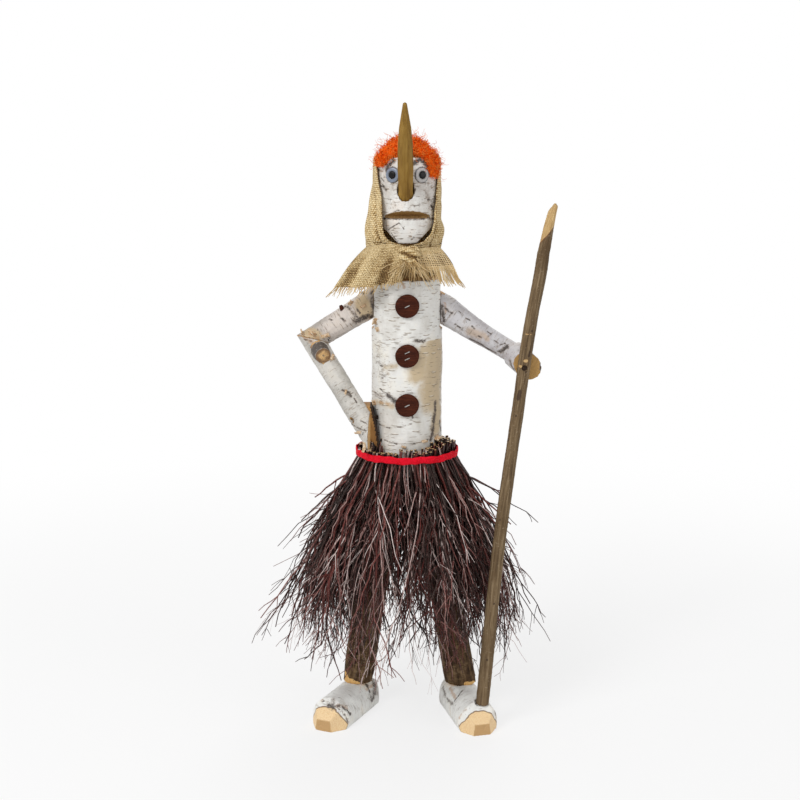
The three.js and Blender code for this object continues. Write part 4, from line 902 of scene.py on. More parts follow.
def build_log(node, path, radius, grid, lump, ridge, finish, keep, seed, bowed=False):
    """Makes a log from its CAD node, with relief and its finish's attributes, and counts its faces."""
    piece = remeshed(node, node + "_log", grid * MM)
    mesh = piece.data
    points = points_of(mesh)
    normals = normals_of(mesh)
    line = np.array([at(*p) for p in path])
    if bowed:
        line = centred(points, line)
    local, heading = along_path(points, line)
    bark = bark_share(local, heading, normals, keep, radius)
    if finish == "shoe":
        bark = toe_bark(points, local, normals, bark)
    if node == "left_arm":
        out = np.linalg.norm(points[:, :2] - TORSO_AXIS[:2] * MM, axis=1)
        bark = np.maximum(bark, smooth(out, *ARM_BARK_FROM) * smooth(out, *ARM_BARK_TO))
    if node == "staff":
        points, bark = staff_shape(points, local)
    bark = bark * (1 - smooth(painted(node, points, chips.get(node, [])), 0.3, 0.6))
    mark = painted(node, points, marks_and_shade.get(node, []))
    if node == "hip_block":
        points, mark = to_forearm(points)
    if node == "right_forearm":
        bark, mark = stub_bark(points, normals, local, bark, mark)
    store(mesh, "log", local)
    store(mesh, "bark", bark)
    store(mesh, "mark", mark)
    store(mesh, "sawn", smooth(np.sum(normals * heading, axis=1), 0.7, 0.85))
    store(mesh, "stain", painted(node, points, stains.get(node, [])))
    peel = painted(node, points, peels.get(node, []))
    if node == "torso":
        peel = peel * smooth(points[:, 2] / MM, PEEL_TOP, PEEL_TOP - 2)
    store(mesh, "peel", peel)
    stretch = np.array([110, 110, 26]) if finish == "leg" else np.array([50, 50, 260])
    relief = lump * lattice_noise(local * np.array([32, 32, 22]), seed)
    ridges = lattice_noise(local * stretch, seed + 1)
    ridges = ridges + 0.5 * lattice_noise(local * stretch * 2.1, seed + 2)
    relief += ridge * ridges
    relief -= 0.6 * mark * (ridge > 0)
    bare = 0.15 * lattice_noise(local * 160, seed + 3) - 0.8 * (finish == "leg")
    moved = np.where(bark > 0.5, relief, bare) * MM
    if node == "head":
        bore = (np.hypot(local[:, 0], local[:, 1]) < NECK_BORE * MM) & (np.abs(normals[:, 2]) < 0.6)
        moved = np.where(bore, -NECK_PLAY * MM, moved)
    set_points(mesh, points + normals * moved[:, None])
    mesh.materials.append(finishes[finish])
    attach(piece, "head" if node in ("head", "nose") else "figure")
    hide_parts(node)
    return len(mesh.polygons)


for number, (node, shape) in enumerate(SHAPES.items()):
    print(node, "log:", build_log(node, seed=number * 7 + 3, **shape), "faces")

# %% [markdown]
# ## One tree that sweeps
# Twigs, curls of hair and threads are all thin rods along a path, thinner towards the tip. The script draws
# each path as a chain of edges, with its thickness stored on the points. One Geometry Nodes tree turns
# chains into curves, lets them wander a little, and sweeps a small ring along them. A ring of three to five
# sides is enough for a rod two pixels wide, and thousands of them stay light.

# %% Build the sweep tree
def sweep_tree():
    tree = bpy.data.node_groups.new("sweep", "GeometryNodeTree")
    face = tree.interface
    face.new_socket("Geometry", in_out="INPUT", socket_type="NodeSocketGeometry")
    kinds = {"Sides": "Int", "Wander": "Float", "Wander Scale": "Float", "Seed": "Float",
             "Finish": "Material"}
    for label, kind in kinds.items():
        face.new_socket(label, in_out="INPUT", socket_type="NodeSocket" + kind)
    face.new_socket("Geometry", in_out="OUTPUT", socket_type="NodeSocketGeometry")

    def add(kind, **links):
        node = tree.nodes.new(kind)
        for key, value in links.items():
            socket = node.inputs[int(key[1:]) if key[1:].isdigit() else key.replace("_", " ")]
            if isinstance(value, bpy.types.NodeSocket):
                tree.links.new(value, socket)
            else:
                socket.default_value = value
        return node

    given = add("NodeGroupInput").outputs
    curve = add("GeometryNodeMeshToCurve", Mesh=given["Geometry"]).outputs["Curve"]
    noise = add("ShaderNodeTexNoise")
    noise.noise_dimensions = "4D"
    tree.links.new(given["Wander Scale"], noise.inputs["Scale"])
    tree.links.new(given["Seed"], noise.inputs["W"])
    about = add("ShaderNodeVectorMath", i0=noise.outputs["Color"], i1=(0.5, 0.5, 0.5))
    about.operation = "SUBTRACT"
    loose = add("GeometryNodeInputNamedAttribute", Name="loose").outputs["Attribute"]
    amount = add("ShaderNodeMath", i0=loose, i1=given["Wander"])
    amount.operation = "MULTIPLY"
    shift = add("ShaderNodeVectorMath", i0=about.outputs["Vector"])
    shift.operation = "SCALE"
    tree.links.new(amount.outputs[0], shift.inputs["Scale"])
    moved = add("GeometryNodeSetPosition", Geometry=curve, Offset=shift.outputs["Vector"]).outputs[0]
    ring = add("GeometryNodeCurvePrimitiveCircle", Resolution=given["Sides"], Radius=1.0).outputs[0]
    thick = add("GeometryNodeInputNamedAttribute", Name="thick").outputs["Attribute"]
    rods = add("GeometryNodeCurveToMesh", Curve=moved, Profile_Curve=ring, Scale=thick, Fill_Caps=True)
    round_rods = add("GeometryNodeSetShadeSmooth", Geometry=rods.outputs["Mesh"]).outputs[0]
    plain = add("GeometryNodeRealizeInstances", Geometry=round_rods).outputs[0]
    painted_rods = add("GeometryNodeSetMaterial", Geometry=plain, Material=given["Finish"]).outputs[0]
    add("NodeGroupOutput", Geometry=painted_rods)
    return tree


SWEEP = sweep_tree()
print("sweep tree with", len(SWEEP.nodes), "nodes")


# %% Sweep a list of paths
class Paths:
    """Chains of points, each point with a thickness, a looseness, a tone and its share of the way."""

    def __init__(self):
        self.points, self.edges = [], []
        self.values = {"thick": [], "loose": [], "tone": [], "along": []}
        self.count = 0

    def add(self, points, thick, tone, loose=1.0):
        n = len(points)
        along = np.linspace(0, 1, n)
        self.points.append(np.asarray(points, float))
        self.edges += [(self.count + i, self.count + i + 1) for i in range(n - 1)]
        self.values["thick"].append(np.interp(along, np.linspace(0, 1, len(thick)), thick))
        self.values["loose"].append(np.full(n, loose) * smooth(along, 0.0, 0.3))
        self.values["tone"].append(np.full(n, tone))
        self.values["along"].append(along)
        self.count += n

    def swept(self, name, finish, sides, wander, wander_scale, seed):
        mesh = bpy.data.meshes.new(name)
        mesh.from_pydata(np.concatenate(self.points).tolist(), self.edges, [])
        for key, rows in self.values.items():
            store(mesh, key, np.concatenate(rows))
        piece = link(name, mesh)
        modifier = piece.modifiers.new("sweep", "NODES")
        modifier.node_group = SWEEP
        settings = {"Sides": sides, "Wander": wander, "Wander Scale": wander_scale, "Seed": seed,
                    "Finish": finish}
        for item in SWEEP.interface.items_tree:
            if item.in_out == "INPUT" and item.name in settings:
                modifier[item.identifier] = settings[item.name]
        return plain_mesh(piece)


print("paths ready to sweep")

# %% [markdown]
# ## Twig skirt
# The skirt is a besom's worth of birch twigs, tied round the torso with their cut ends up. They leave the
# waist in a bell and fork into finer and finer shoots. A scanned mass would be one lump, so each twig is
# grown: it follows the same flow as the CAD twigs, with a small turn of its own, and sends out side shoots
# that fork once more. Twigs are pushed off the legs and behind the staff, so none runs through them.

# %% Twig finish
def twig_finish():
    r = Recipe("twig_bark")
    tone, along = r.attribute("tone"), r.attribute("along")
    co = r.place()
    mottle = r.noise(co, 260, 3, 0.6)
    shade = r.calc("ADD", tone, r.swing(mottle, 0.5))
    colour = r.ramp(shade, (0.05, (6, 3, 3)), (0.3, (32, 13, 13)), (0.55, (102, 43, 39)),
                    (0.75, (166, 134, 128)), (1.0, (234, 220, 215)))
    colour = r.tint(colour, r.rise(along, 0.55, 1.0), 0.3, (80, 44, 40))
    dots = r.rise(r.noise(co, 700, 2), 0.64, 0.72)
    colour = r.tint(colour, dots, 0.5, (196, 178, 166))
    stub_top = r.rise(tone, 1.2, 1.4)
    colour = r.mix(stub_top, colour, (206, 172, 122))
    return r.done(colour, 0.36, r.bump(mottle, 0.0004, 0.6), specular_ior_level=0.42,
                  specular_tint=(1, 0.7, 0.62, 1))


finishes["twig"] = twig_finish()
print("twig finish ready")


# %% Flow of the skirt
BINDING = dict(inner=56.3, thick=22, bottom=436, top=446)
SKIRT = dict(drop=322, reach=245, inner_reach=127, flare=1.4, twist=0.3, right=1.07, front=0.62, back=0.8,
             gather=1.5)
# Most twigs hang close in this bell, and the strays keep to the skirt's full reach.
BELL = dict(reach=186, flare=1.85)
STAFF_FOOT, STAFF_GRIP = np.array([121.5, -85, 40.3]), np.array([180.7, -71.3, 588])
STAFF_PRESS, STAFF_NEAR = 0.58, 54.6
STAFF_ROOM = dict(middle=-4, beside=17, behind=15)
LEG_LINES = [((-29, 0, 408), (-82, 12, 43), 27.5), ((29, 0, 408), (90, 4, 43), 27.5)]
LEGS_FROM = 405  # height below which twigs keep off the legs
LOWEST_TIP = 58
rng = np.random.default_rng(11)


def flow(layer, angle, share, stray):
    """Where the skirt's flow carries a root at the waist after shares of the full drop."""
    root = BINDING["inner"] + BINDING["thick"] * layer
    angle = angle + SKIRT["twist"] * (layer - 0.5) * share
    hang = SKIRT if stray else BELL
    spread = hang["flare"] * share - (hang["flare"] - 1) * share * share
    end = SKIRT["inner_reach"] + (hang["reach"] - SKIRT["inner_reach"]) * layer ** SKIRT["gather"]
    reach = root + (end - root) * spread
    x = reach * np.cos(angle) * (1 + (SKIRT["right"] - 1) * share * (np.cos(angle) < 0))
    y = reach * np.sin(angle)
    z = BINDING["bottom"] - SKIRT["drop"] * share
    y = y * (1 + (np.where(y < 0, SKIRT["front"], SKIRT["back"]) - 1) * np.minimum(1, share * 4))
    rise = np.clip((z - STAFF_FOOT[2]) / (STAFF_GRIP[2] - STAFF_FOOT[2]), 0, 1)
    staff_x = STAFF_FOOT[0] + (STAFF_GRIP[0] - STAFF_FOOT[0]) * rise
    pressed = 1 - STAFF_PRESS * np.exp(-(((x - staff_x) / STAFF_NEAR) ** 2))
    return np.stack([x, np.where(y < 0, y * pressed, y), z], axis=-1)


def cleared(points):
    """Points moved off the legs, and behind the staff."""
    for a, b, room in LEG_LINES:
        a, b = np.array(a, float), np.array(b, float)
        t = np.clip((points - a) @ (b - a) / ((b - a) @ (b - a)), 0, 1)
        offset = points - a - t[:, None] * (b - a)
        reach = np.linalg.norm(offset, axis=1)[:, None]
        inside = (reach < room) & (points[:, 2:] < LEGS_FROM)
        points = np.where(inside, points + offset * (room / np.maximum(reach, 1e-6) - 1), points)
    rise = np.clip((points[:, 2] - STAFF_FOOT[2]) / (STAFF_GRIP[2] - STAFF_FOOT[2]), 0, 1)[:, None]
    middle = STAFF_FOOT + (STAFF_GRIP - STAFF_FOOT) * rise
    beside = np.abs(points[:, 0] - middle[:, 0] - STAFF_ROOM["middle"]) < STAFF_ROOM["beside"]
    behind = middle[:, 1] + STAFF_ROOM["behind"]
    points[:, 1] = np.where(beside & (points[:, 1] < behind), behind, points[:, 1])
    points[:, 2] = np.maximum(points[:, 2], LOWEST_TIP)
    return points


def shoot(start, way, length, count, droop):
    """A side shoot: it leaves along a direction and bends down a little."""
    t = np.linspace(0, 1, count)[:, None]
    bend = np.cumsum(rng.normal(0, 0.036, (count, 3)), axis=0) * length
    return cleared(start + way * length * t + np.array([0, 0, -droop * length]) * t * t + bend * t)


def turned_aside(way, low, high):
    """A direction turned away from another by an angle between two limits, in radians."""
    side = np.cross(way, rng.normal(size=3))
    side /= np.linalg.norm(side)
    angle = rng.uniform(low, high)
    return way * math.cos(angle) + side * math.sin(angle)


hem = flow(1.0, math.radians(225), np.array([1.0]), True)
print("flow at the hem, front right:", np.round(hem, 1).tolist())


# %% One twig
STRAYS = 0.17  # share of the twigs that stand out from the bell
MAIN_POINTS = 15
TWIG_RADIUS = (1.2, 2.6)
STRAY_SLIM, PALE_SLIM = 0.8, 0.62  # what a stray or a pale twig has of the usual radius
STRAY_END, SHORTEST_END, MORE_END = (0.75, 0.97), 0.58, 0.39  # shares of the full drop
# Twigs are dark, red or pale: the span of each tone and its share of the twigs.
TONES, TONE_SHARES, PALE = [(0.0, 0.3), (0.3, 0.62), (0.66, 1.0)], [0.4, 0.32, 0.28], 0.66
CUT_END = 2.0  # the tone that the finish shows as a cut end
# Cut ends stand highest in front of the left hip, short under the wrist, and high beside the hip block.
TALL_TURN, TALL_RISE, TALL_SPREAD = math.radians(-28), 13, 0.35
WRIST_TURN, WRIST_ROOM = math.radians(225), 0.6
HIP_TURN, HIP_ROOM, HIP_REACH, HIP_RISE = math.radians(223), 0.19, 69, 2.3


def to_frame(points):
    """Points in millimetres from the torso's axis, in metres in the frame."""
    return (points + TORSO_AXIS) * MM


def between(a, b):
    """The angle from one direction to another, from -pi to pi."""
    return (a - b + math.pi) % (2 * math.pi) - math.pi


def butt_of(waist, angle):
    """The cut end of a twig above the binding: its points, leaning a little."""
    usual = rng.uniform(3, 11)
    near = math.exp(-((between(angle, TALL_TURN) / TALL_SPREAD) ** 2))
    tall = usual + TALL_RISE * near * rng.uniform(0.3, 1)
    if abs(between(angle, WRIST_TURN)) < WRIST_ROOM:
        tall = rng.uniform(1, 3)
    if abs(between(angle, HIP_TURN)) < HIP_ROOM and math.hypot(waist[0], waist[1]) < HIP_REACH:
        tall = HIP_RISE * usual
    lean = np.append(rng.normal(0, 0.16, 2) * tall, 0)
    return waist + np.array([0, 0, tall]) + lean


def main_line(layer, angle, end, stray):
    """The path of a twig: the flow, a turn of its own, and a kink at every bud."""
    share = np.linspace(0, end, MAIN_POINTS)
    part = share / end
    turn = rng.normal(0, 0.12) if rng.uniform() < 0.66 else rng.normal(0, 0.42)
    line = flow(layer, angle + turn * part, share, stray)
    sway = np.cumsum(rng.normal(0, 1.7, (MAIN_POINTS, 3)), axis=0)
    sway += rng.normal(0, 12, 3) * part[:, None] ** 1.5
    kink = np.where(np.arange(MAIN_POINTS) % 2, 1, -1)[:, None] * rng.normal(0, 1.2, 3)
    bend = (sway + kink) * np.array([1, 0.8, 0.3])
    return cleared(line + bend * np.minimum(1, 6 * share)[:, None])


def grow_twig(paths, layer, angle):
    """Adds a twig, its cut end, its side shoots and their forks to the paths."""
    stray = rng.uniform() < STRAYS
    end = rng.uniform(*STRAY_END) if stray else SHORTEST_END + MORE_END * rng.beta(2.2, 2.2)
    line = main_line(layer, angle, end, stray)
    waist = line[0] * np.array([1, 1, 0]) + np.array([0, 0, BINDING["top"]])
    top = butt_of(waist, angle)
    tone = rng.choice([rng.uniform(*span) for span in TONES], p=TONE_SHARES)
    thick = rng.uniform(*TWIG_RADIUS) * (STRAY_SLIM if stray else 1.0) * (PALE_SLIM if tone > PALE else 1.0)
    # Twigs of the inner layers are darker: painted shade deep in the skirt.
    tone *= 0.55 + 0.45 * layer
    whole = np.vstack([top, waist, line])
    paths.add(to_frame(whole), np.array([1, 1, 0.92, 0.8, 0.64, 0.44]) * thick * MM, tone, 0.6)
    cut = np.vstack([top, top + np.array([0, 0, 0.5])])
    paths.add(to_frame(cut), np.full(2, 0.92 * thick * MM), CUT_END, 0.0)
    for _ in range(rng.integers(3, 6)):
        i = rng.integers(2, MAIN_POINTS)
        way = line[i] - line[i - 1]
        way /= np.linalg.norm(way)
        length = rng.uniform(45, 130) * (1.15 - 0.65 * i / MAIN_POINTS)
        side = shoot(line[i], turned_aside(way, 0.2, 0.66), length, 7, 0.24)
        shoot_tone = np.clip(tone + rng.normal(0.05, 0.16), 0, 1)
        slim = thick * (0.72 - 0.25 * i / MAIN_POINTS)
        paths.add(to_frame(side), np.array([1, 0.84, 0.56]) * slim * MM, shoot_tone)
        for _ in range(rng.integers(0, 4)):
            j = rng.integers(2, 6)
            way = side[j] - side[j - 1]
            way /= max(np.linalg.norm(way), 1e-6)
            fork = shoot(side[j], turned_aside(way, 0.3, 0.9), rng.uniform(14, 40), 4, 0.15)
            paths.add(to_frame(fork), np.array([0.6, 0.42]) * slim * MM, shoot_tone)


print("twigs of", TWIG_RADIUS, "mm radius, with", MAIN_POINTS, "points each")

# %% Bind the twigs into four quarters
TWIGS_A_QUARTER = 100


def keep_in_box(paths, room=0.012, soft=0.03):
    """Bends stray shoots back into the CAD model's box and a little room round it."""
    low, high = np.array(cad_box[0]) - room, np.array(cad_box[1]) + room
    middle, half_size = (low + high) / 2, (high - low) / 2

    def held(p):
        offset = p - middle
        past = np.maximum(0, np.abs(offset) - (half_size - soft))
        reach = np.minimum(np.abs(offset), half_size - soft) + soft * np.tanh(past / soft)
        return middle + np.sign(offset) * reach

    paths.points = [held(p) for p in paths.points]


for quarter, side in enumerate(["left", "back", "right", "front"]):
    paths = Paths()
    for _ in range(TWIGS_A_QUARTER):
        grow_twig(paths, rng.uniform(0.05, 0.95), quarter * math.pi / 2 + rng.uniform(-0.77, 0.77))
    keep_in_box(paths)
    quarter_piece = paths.swept(f"twigs_{side}", finishes["twig"], 5, 0.004, 22, quarter + 2.0)
    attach(quarter_piece, "figure")
    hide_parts(f"twig_skirt_{side}")
    faces = len(quarter_piece.data.polygons)
    print(side, "quarter:", len(paths.points), "twigs and shoots,", faces, "faces")

# %% [markdown]
# ## Ribbon
# A narrow red ribbon runs once round the twigs over the binding wire and is knotted behind. The twigs under
# it make it wave, so its rows of points follow a wavy ring instead of a plain tube.

# %% Cloth tools
def woven_finish(name, dark, mid, light, pitch, bump, fuzz, rough, **fixed):
    """Plain weave on a UV map in metres: threads over and under at the given pitch."""
    r = Recipe(name)
    uv = r.add("TexCoord", {}).outputs["UV"]
    slub = r.noise(uv, 1, 3, 0.6, (60, 900, 1))
    other = r.noise(uv, 1, 3, 0.6, (900, 60, 1))
    split = r.add("SeparateXYZ", {"Vector": uv})
    turn = math.pi / pitch
    across = r.calc("SINE", r.calc("MULTIPLY", split.outputs[0], turn))
    along = r.calc("SINE", r.calc("MULTIPLY", split.outputs[1], turn))
    over = r.calc("MULTIPLY", across, along)
    thread = r.calc("MULTIPLY", r.calc("ABSOLUTE", across), r.calc("ABSOLUTE", along))
    streaks = r.mix(r.rise(over, -0.2, 0.2), slub, other)
    tone = r.weigh((streaks, fuzz), (thread, 0.55))
    patchy = r.noise(uv, 45, 4, 0.6)
    tone = r.calc("ADD", tone, r.swing(patchy, 0.7))
    speck = r.noise(uv, 330, 2, 0.6)
    tone = r.calc("ADD", tone, r.swing(speck, 0.9))
    # The fold attribute darkens the cloth as painted shade: in folds, by the face, under the chin, by the
    # knots.
    tone = r.calc("SUBTRACT", tone, r.calc("MULTIPLY", r.attribute("fold"), 0.56))
    colour = r.ramp(tone, (0.16, dark), (0.42, mid), (0.78, light))
    height = r.weigh((thread, 0.8), (over, 0.3))
    return r.done(colour, rough, r.bump(height, bump, 0.9), **fixed)


def grid_piece(name, rows, uv, fold=None):
    """A mesh over rows of points, with a UV map in metres and, for cloth, each point's share of painted
    shade.
    """
    rows = np.asarray(rows)
    high, wide = rows.shape[:2]
    faces = []
    for i in range(high - 1):
        for j in range(wide - 1):
            a = i * wide + j
            faces.append((a, a + 1, a + wide + 1, a + wide))
    mesh = bpy.data.meshes.new(name)
    mesh.from_pydata(rows.reshape(-1, 3).tolist(), [], faces)
    layer = mesh.uv_layers.new(name="cloth")
    flat = np.asarray(uv).reshape(-1, 2)
    index = np.zeros(len(mesh.loops), int)
    mesh.loops.foreach_get("vertex_index", index)
    layer.data.foreach_set("uv", flat[index].astype(np.float32).ravel())
    mesh.polygons.foreach_set("use_smooth", [True] * len(mesh.polygons))
    if fold is not None:
        store(mesh, "fold", np.asarray(fold).ravel())
    return link(name, mesh)


def thickened(piece, thickness, offset=0.0):
    """Gives a sheet its thickness: on both sides of its points, or on one with an offset of 1 or -1."""
    wall = piece.modifiers.new("wall", "SOLIDIFY")
    wall.thickness = thickness
    wall.offset = offset
    plain_mesh(piece)


def cloth_area(piece):
    """The area of one face of a closed sheet."""
    return sum(p.area for p in piece.data.polygons) / 2


print("cloth tools ready")

# %% Ribbon
RIBBON_RADIUS, RIBBON_WIDTH, RIBBON_HEIGHT = 81.4, 11.0, 441.0
finishes["ribbon"] = woven_finish("red_ribbon", (188, 0, 16), (232, 0, 34), (252, 28, 58), 0.0006,
                                  0.0002, 0.4, 0.7, specular_ior_level=0.15)
turn = np.linspace(0, 2 * math.pi, 241)
rows, flat = [], []
for across in np.linspace(-0.5, 0.5, 7):
    wave = 0.7 * np.sin(9 * turn + 0.6) + 0.5 * np.sin(23 * turn + 2 * across)
    radius = RIBBON_RADIUS + 0.6 * np.sin(17 * turn) * (0.4 + across) + 0.5 * np.sin(31 * turn + 1)
    radius += 0.8 * (1 - (2 * across) ** 2)
    height = RIBBON_HEIGHT + across * RIBBON_WIDTH + wave
    rows.append(to_frame(np.stack([radius * np.cos(turn), radius * np.sin(turn), height], axis=1)))
    flat.append(np.stack([turn * RIBBON_RADIUS, np.full(len(turn), across * RIBBON_WIDTH)], axis=1) * MM)
ribbon = grid_piece("waist_ribbon_band", rows, flat)
ribbon.data.materials.append(finishes["ribbon"])
thickened(ribbon, 0.9 * MM)
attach(ribbon, "figure")
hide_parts("waist_ribbon")


# %% Ribbon knot
KNOT_ROUND, KNOT_LONG = 40, 24  # points of a knot, round it and along it


def lump(name, middle, size, folds, depth, finish):
    """A gathered lump of cloth: an ellipsoid pinched into folds, with a UV map in metres and painted shade in
    its folds.
    """
    v = np.linspace(0.02, math.pi - 0.02, KNOT_LONG)[:, None]
    u = np.linspace(0, 2 * math.pi, KNOT_ROUND + 1)[None, :]
    pinch = 1 + depth * np.sin(folds * u + 3 * v) * np.sin(v)
    pinch = pinch + 0.5 * depth * np.sin((folds + 3) * u - 2 * v)
    x = size[0] * np.cos(v) * np.ones_like(u)
    y = size[1] * np.sin(v) * np.cos(u) * pinch
    z = size[2] * np.sin(v) * np.sin(u) * pinch
    rows = (np.stack([x, y, z], axis=2) + middle + TORSO_AXIS) * MM
    uv = np.stack([size[0] * v * np.ones_like(u), size[1] * u * np.ones_like(v)], axis=2) * MM
    # The fold valleys get painted shade.
    piece = grid_piece(name, rows, uv, np.clip(-np.sin(folds * u + 3 * v), 0, 1) * np.sin(v))
    edit = bmesh.new()
    edit.from_mesh(piece.data)
    bmesh.ops.remove_doubles(edit, verts=edit.verts, dist=1e-6)
    bmesh.ops.holes_fill(edit, edges=edit.edges)
    bmesh.ops.recalc_face_normals(edit, faces=edit.faces)
    edit.to_mesh(piece.data)
    edit.free()
    piece.data.materials.append(finish)
    return piece


behind = np.array([0, 84.5, RIBBON_HEIGHT])
ribbon_knot = lump("waist_ribbon_knot", behind, (9.5, 3.4, 5.8), 5, 0.1, finishes["ribbon"])
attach(ribbon_knot, "figure")
print("ribbon knot:", len(ribbon_knot.data.polygons), "faces")

# %% [markdown]
# ## Headscarf
# The scarf is one triangle of burlap over the head, tied under the chin. It is drawn as rows of points: each
# row runs round the head from one edge of the face to the other. The rows close under the chin, and behind
# they run down to the corner of the triangle. A deep crease beside each cheek parts the band at the face from
# the looser cloth behind. The two tails fan out from the knot with their own folds.

# %% Burlap and the hood's outline
HEAD_FLOOR = 776.0


def in_head(points):
    """Points in millimetres from the middle of the head's underside, in metres in the frame."""
    return to_frame(np.asarray(points, float) + np.array([0, 0, HEAD_FLOOR]))


finishes["burlap"] = woven_finish("burlap", (96, 66, 28), (190, 156, 98), (243, 222, 176), 0.0031,
                                  0.0016, 0.75, 0.92)
HOOD_ROWS = [(2, 137.3), (16, 137.2), (30, 136.8), (41, 136.2), (48.5, 134.2), (51, 129), (51.5, 120),
             (52, 97), (54, 72), (57, 50), (60, 29), (61.5, 12), (61.5, 2), (59.5, -8), (57.4, -19),
             (55.5, -28), (54, -38)]
FACE_EDGE = [(-60, -62), (-3, -62), (1.5, -59.6), (6, -54.8), (16, -50), (31, -47.1), (51.5, -42.8),
             (70, -37.5), (90, -30.8), (102, -26.9), (117, -22.3), (128, -14), (140, -8.2)]
CREASE = [(-10, 0.72), (3, 0.74), (15, 0.86), (40, 1.0), (70, 1.08), (100, 1.12)]
LEFT_PULL = [(-40, 12), (-5, 13), (8, 10.5), (21, 8), (41, 10), (60, 6), (70, 4.6), (90, 3.3), (110, 1)]
LEFT_OPEN = [(10, 0), (30, 5), (51, 7), (78, 9), (95, 8), (110, 4), (125, 0)]
# HOOD_ROWS gives radius and height, FACE_EDGE height and depth, and CREASE height and angle from the front.
# The left side lies in by LEFT_PULL at a height, and its edge at the face lies further back by LEFT_OPEN.
print("hood outline:", len(HOOD_ROWS), "rings from the crown down")

# %% Hood
CROWN = 137
BACK_DROP, BACK_RADIUS = 62.0, 62.8  # of the corner behind
CLOTH_SEAT = 50.6  # the cloth's least radius over the head


def hood_rows(count=58, wide=150):
    """Rows of the hood from the crown to the lower edge, the flat place of every point, and its painted
    shade.
    """
    steps = np.linspace(0, len(HOOD_ROWS) - 1, count)
    radius = np.interp(steps, range(len(HOOD_ROWS)), [r for r, _ in HOOD_ROWS])
    height = np.interp(steps, range(len(HOOD_ROWS)), [z for _, z in HOOD_ROWS])
    rows, flat, folds = [], [], []
    down = 0.0
    for k in range(count):
        edge_y = np.interp(height[k], *zip(*FACE_EDGE))
        ends = [math.radians(82)] * 2
        if radius[k] > 9:
            open_by = np.interp(height[k], *zip(*LEFT_OPEN))
            depths = -np.array([edge_y + open_by, edge_y]) / radius[k]
            ends = [max(0.03, math.acos(d)) for d in np.clip(depths, -1, 1)]
        phi = np.linspace(ends[0], 2 * math.pi - ends[1], wide)
        start = np.where(phi < math.pi, ends[0], ends[1])
        back = np.maximum(0, -np.cos(phi)) ** 1.5
        low = smooth(-height[k], 2, 38)
        spread = np.minimum(1, back * 5) * low
        r = radius[k] + (BACK_RADIUS - radius[k]) * spread
        z = height[k] - BACK_DROP * back * low
        share = smooth(np.full(wide, CROWN - height[k]), 8, 70)
        side = np.minimum(phi, 2 * math.pi - phi)
        jaw = smooth(np.full(wide, 100 - height[k]), 0, 80)
        fold_at = np.interp(height[k], *zip(*CREASE))
        crease = np.exp(-(((side - fold_at) / 0.075) ** 2))
        lobe = np.exp(-(((side - fold_at - 0.42) / 0.24) ** 2))
        shade = np.exp(-(((side - fold_at + 0.01) / 0.06) ** 2))
        shade = shade + 0.2 * np.exp(-((side - start) / 0.05) ** 2)
        # Painted shade along the crease, just inside the edge at the face, and under the chin in front.
        folds.append(np.clip(jaw * (1 - low) * shade + 0.7 * (low - spread), 0, 1))
        r = r + jaw * (1 - low) * (4.0 * lobe - 6.0 * crease)
        waves = 1.3 * np.sin(7 * phi + 0.03 * height[k]) + 1.0 * np.sin(12 * phi - 0.05 * height[k])
        r = r + share * (waves + 0.9 * np.sin(19 * phi + 0.11 * height[k]))
        r = r - np.interp(height[k], *zip(*LEFT_PULL)) * np.clip(np.sin(phi), 0, 1) ** 2
        r = r + 1.4 * np.exp(-((side - start) / 0.06) ** 2) * share
        r = np.where((z > 0) & (height[k] < 130), np.maximum(r, CLOTH_SEAT), r)
        x, y = r * np.sin(phi), -r * np.cos(phi)
        rows.append(in_head(np.stack([x, y, z], axis=1)))
        if k:
            down += math.hypot(radius[k] - radius[k - 1], height[k] - height[k - 1])
        across = (phi - math.pi) * max(radius[k], 20)
        flat.append(np.stack([across, down + BACK_DROP * back * low], axis=1) * MM)
    return rows, flat, folds


CLOTH = 1.8  # thickness of the burlap
rows, flat, folds = hood_rows()
hood = grid_piece("headscarf_cloth", rows, flat, folds)
hood.data.materials.append(finishes["burlap"])
thickened(hood, CLOTH * MM, -1.0)
print("hood:", round(cloth_area(hood) * 1e4), "cm2")

# %% [markdown]
# ## Tails, knot and fringe
# A tail is a patch between four corners: the knot, the place where it leaves the hood, its tip, and the
# corner of its hem. Folds run out from the knot and deepen towards the hem, and shade is painted in them and
# beside the knot. The tail on the left of the figure has come undone: part of its weave is an open lattice,
# so there the cloth stops short and single threads go on, and the cloth under the lattice is darkened as
# painted shade. All hems end in a fringe, swept by the same tree as the twigs.

# %% Tails
TAILS = {
    "right": dict(knot=(-4, -69, -4), shoulder=(-64, -38, -6), tip=(-112, -56, -65), hem=(-8, -71, -54),
                  whole=1.0, arch=7, bulge=11, lattice_shade=0.0),
    "left": dict(knot=(6, -69, -8), shoulder=(49, -36, -5), tip=(82, -56, -53), hem=(10, -71, -40),
                 whole=0.66, arch=2, bulge=8, lattice_shade=0.9),
}


def tail_fold(u, v):
    """How far a tail's folds stand out, in millimetres: they run out from the knot."""
    return 4.6 * np.sin(u * 11 + 1.6 * v) + 2.4 * np.sin(u * 23 - 2.4 * v)


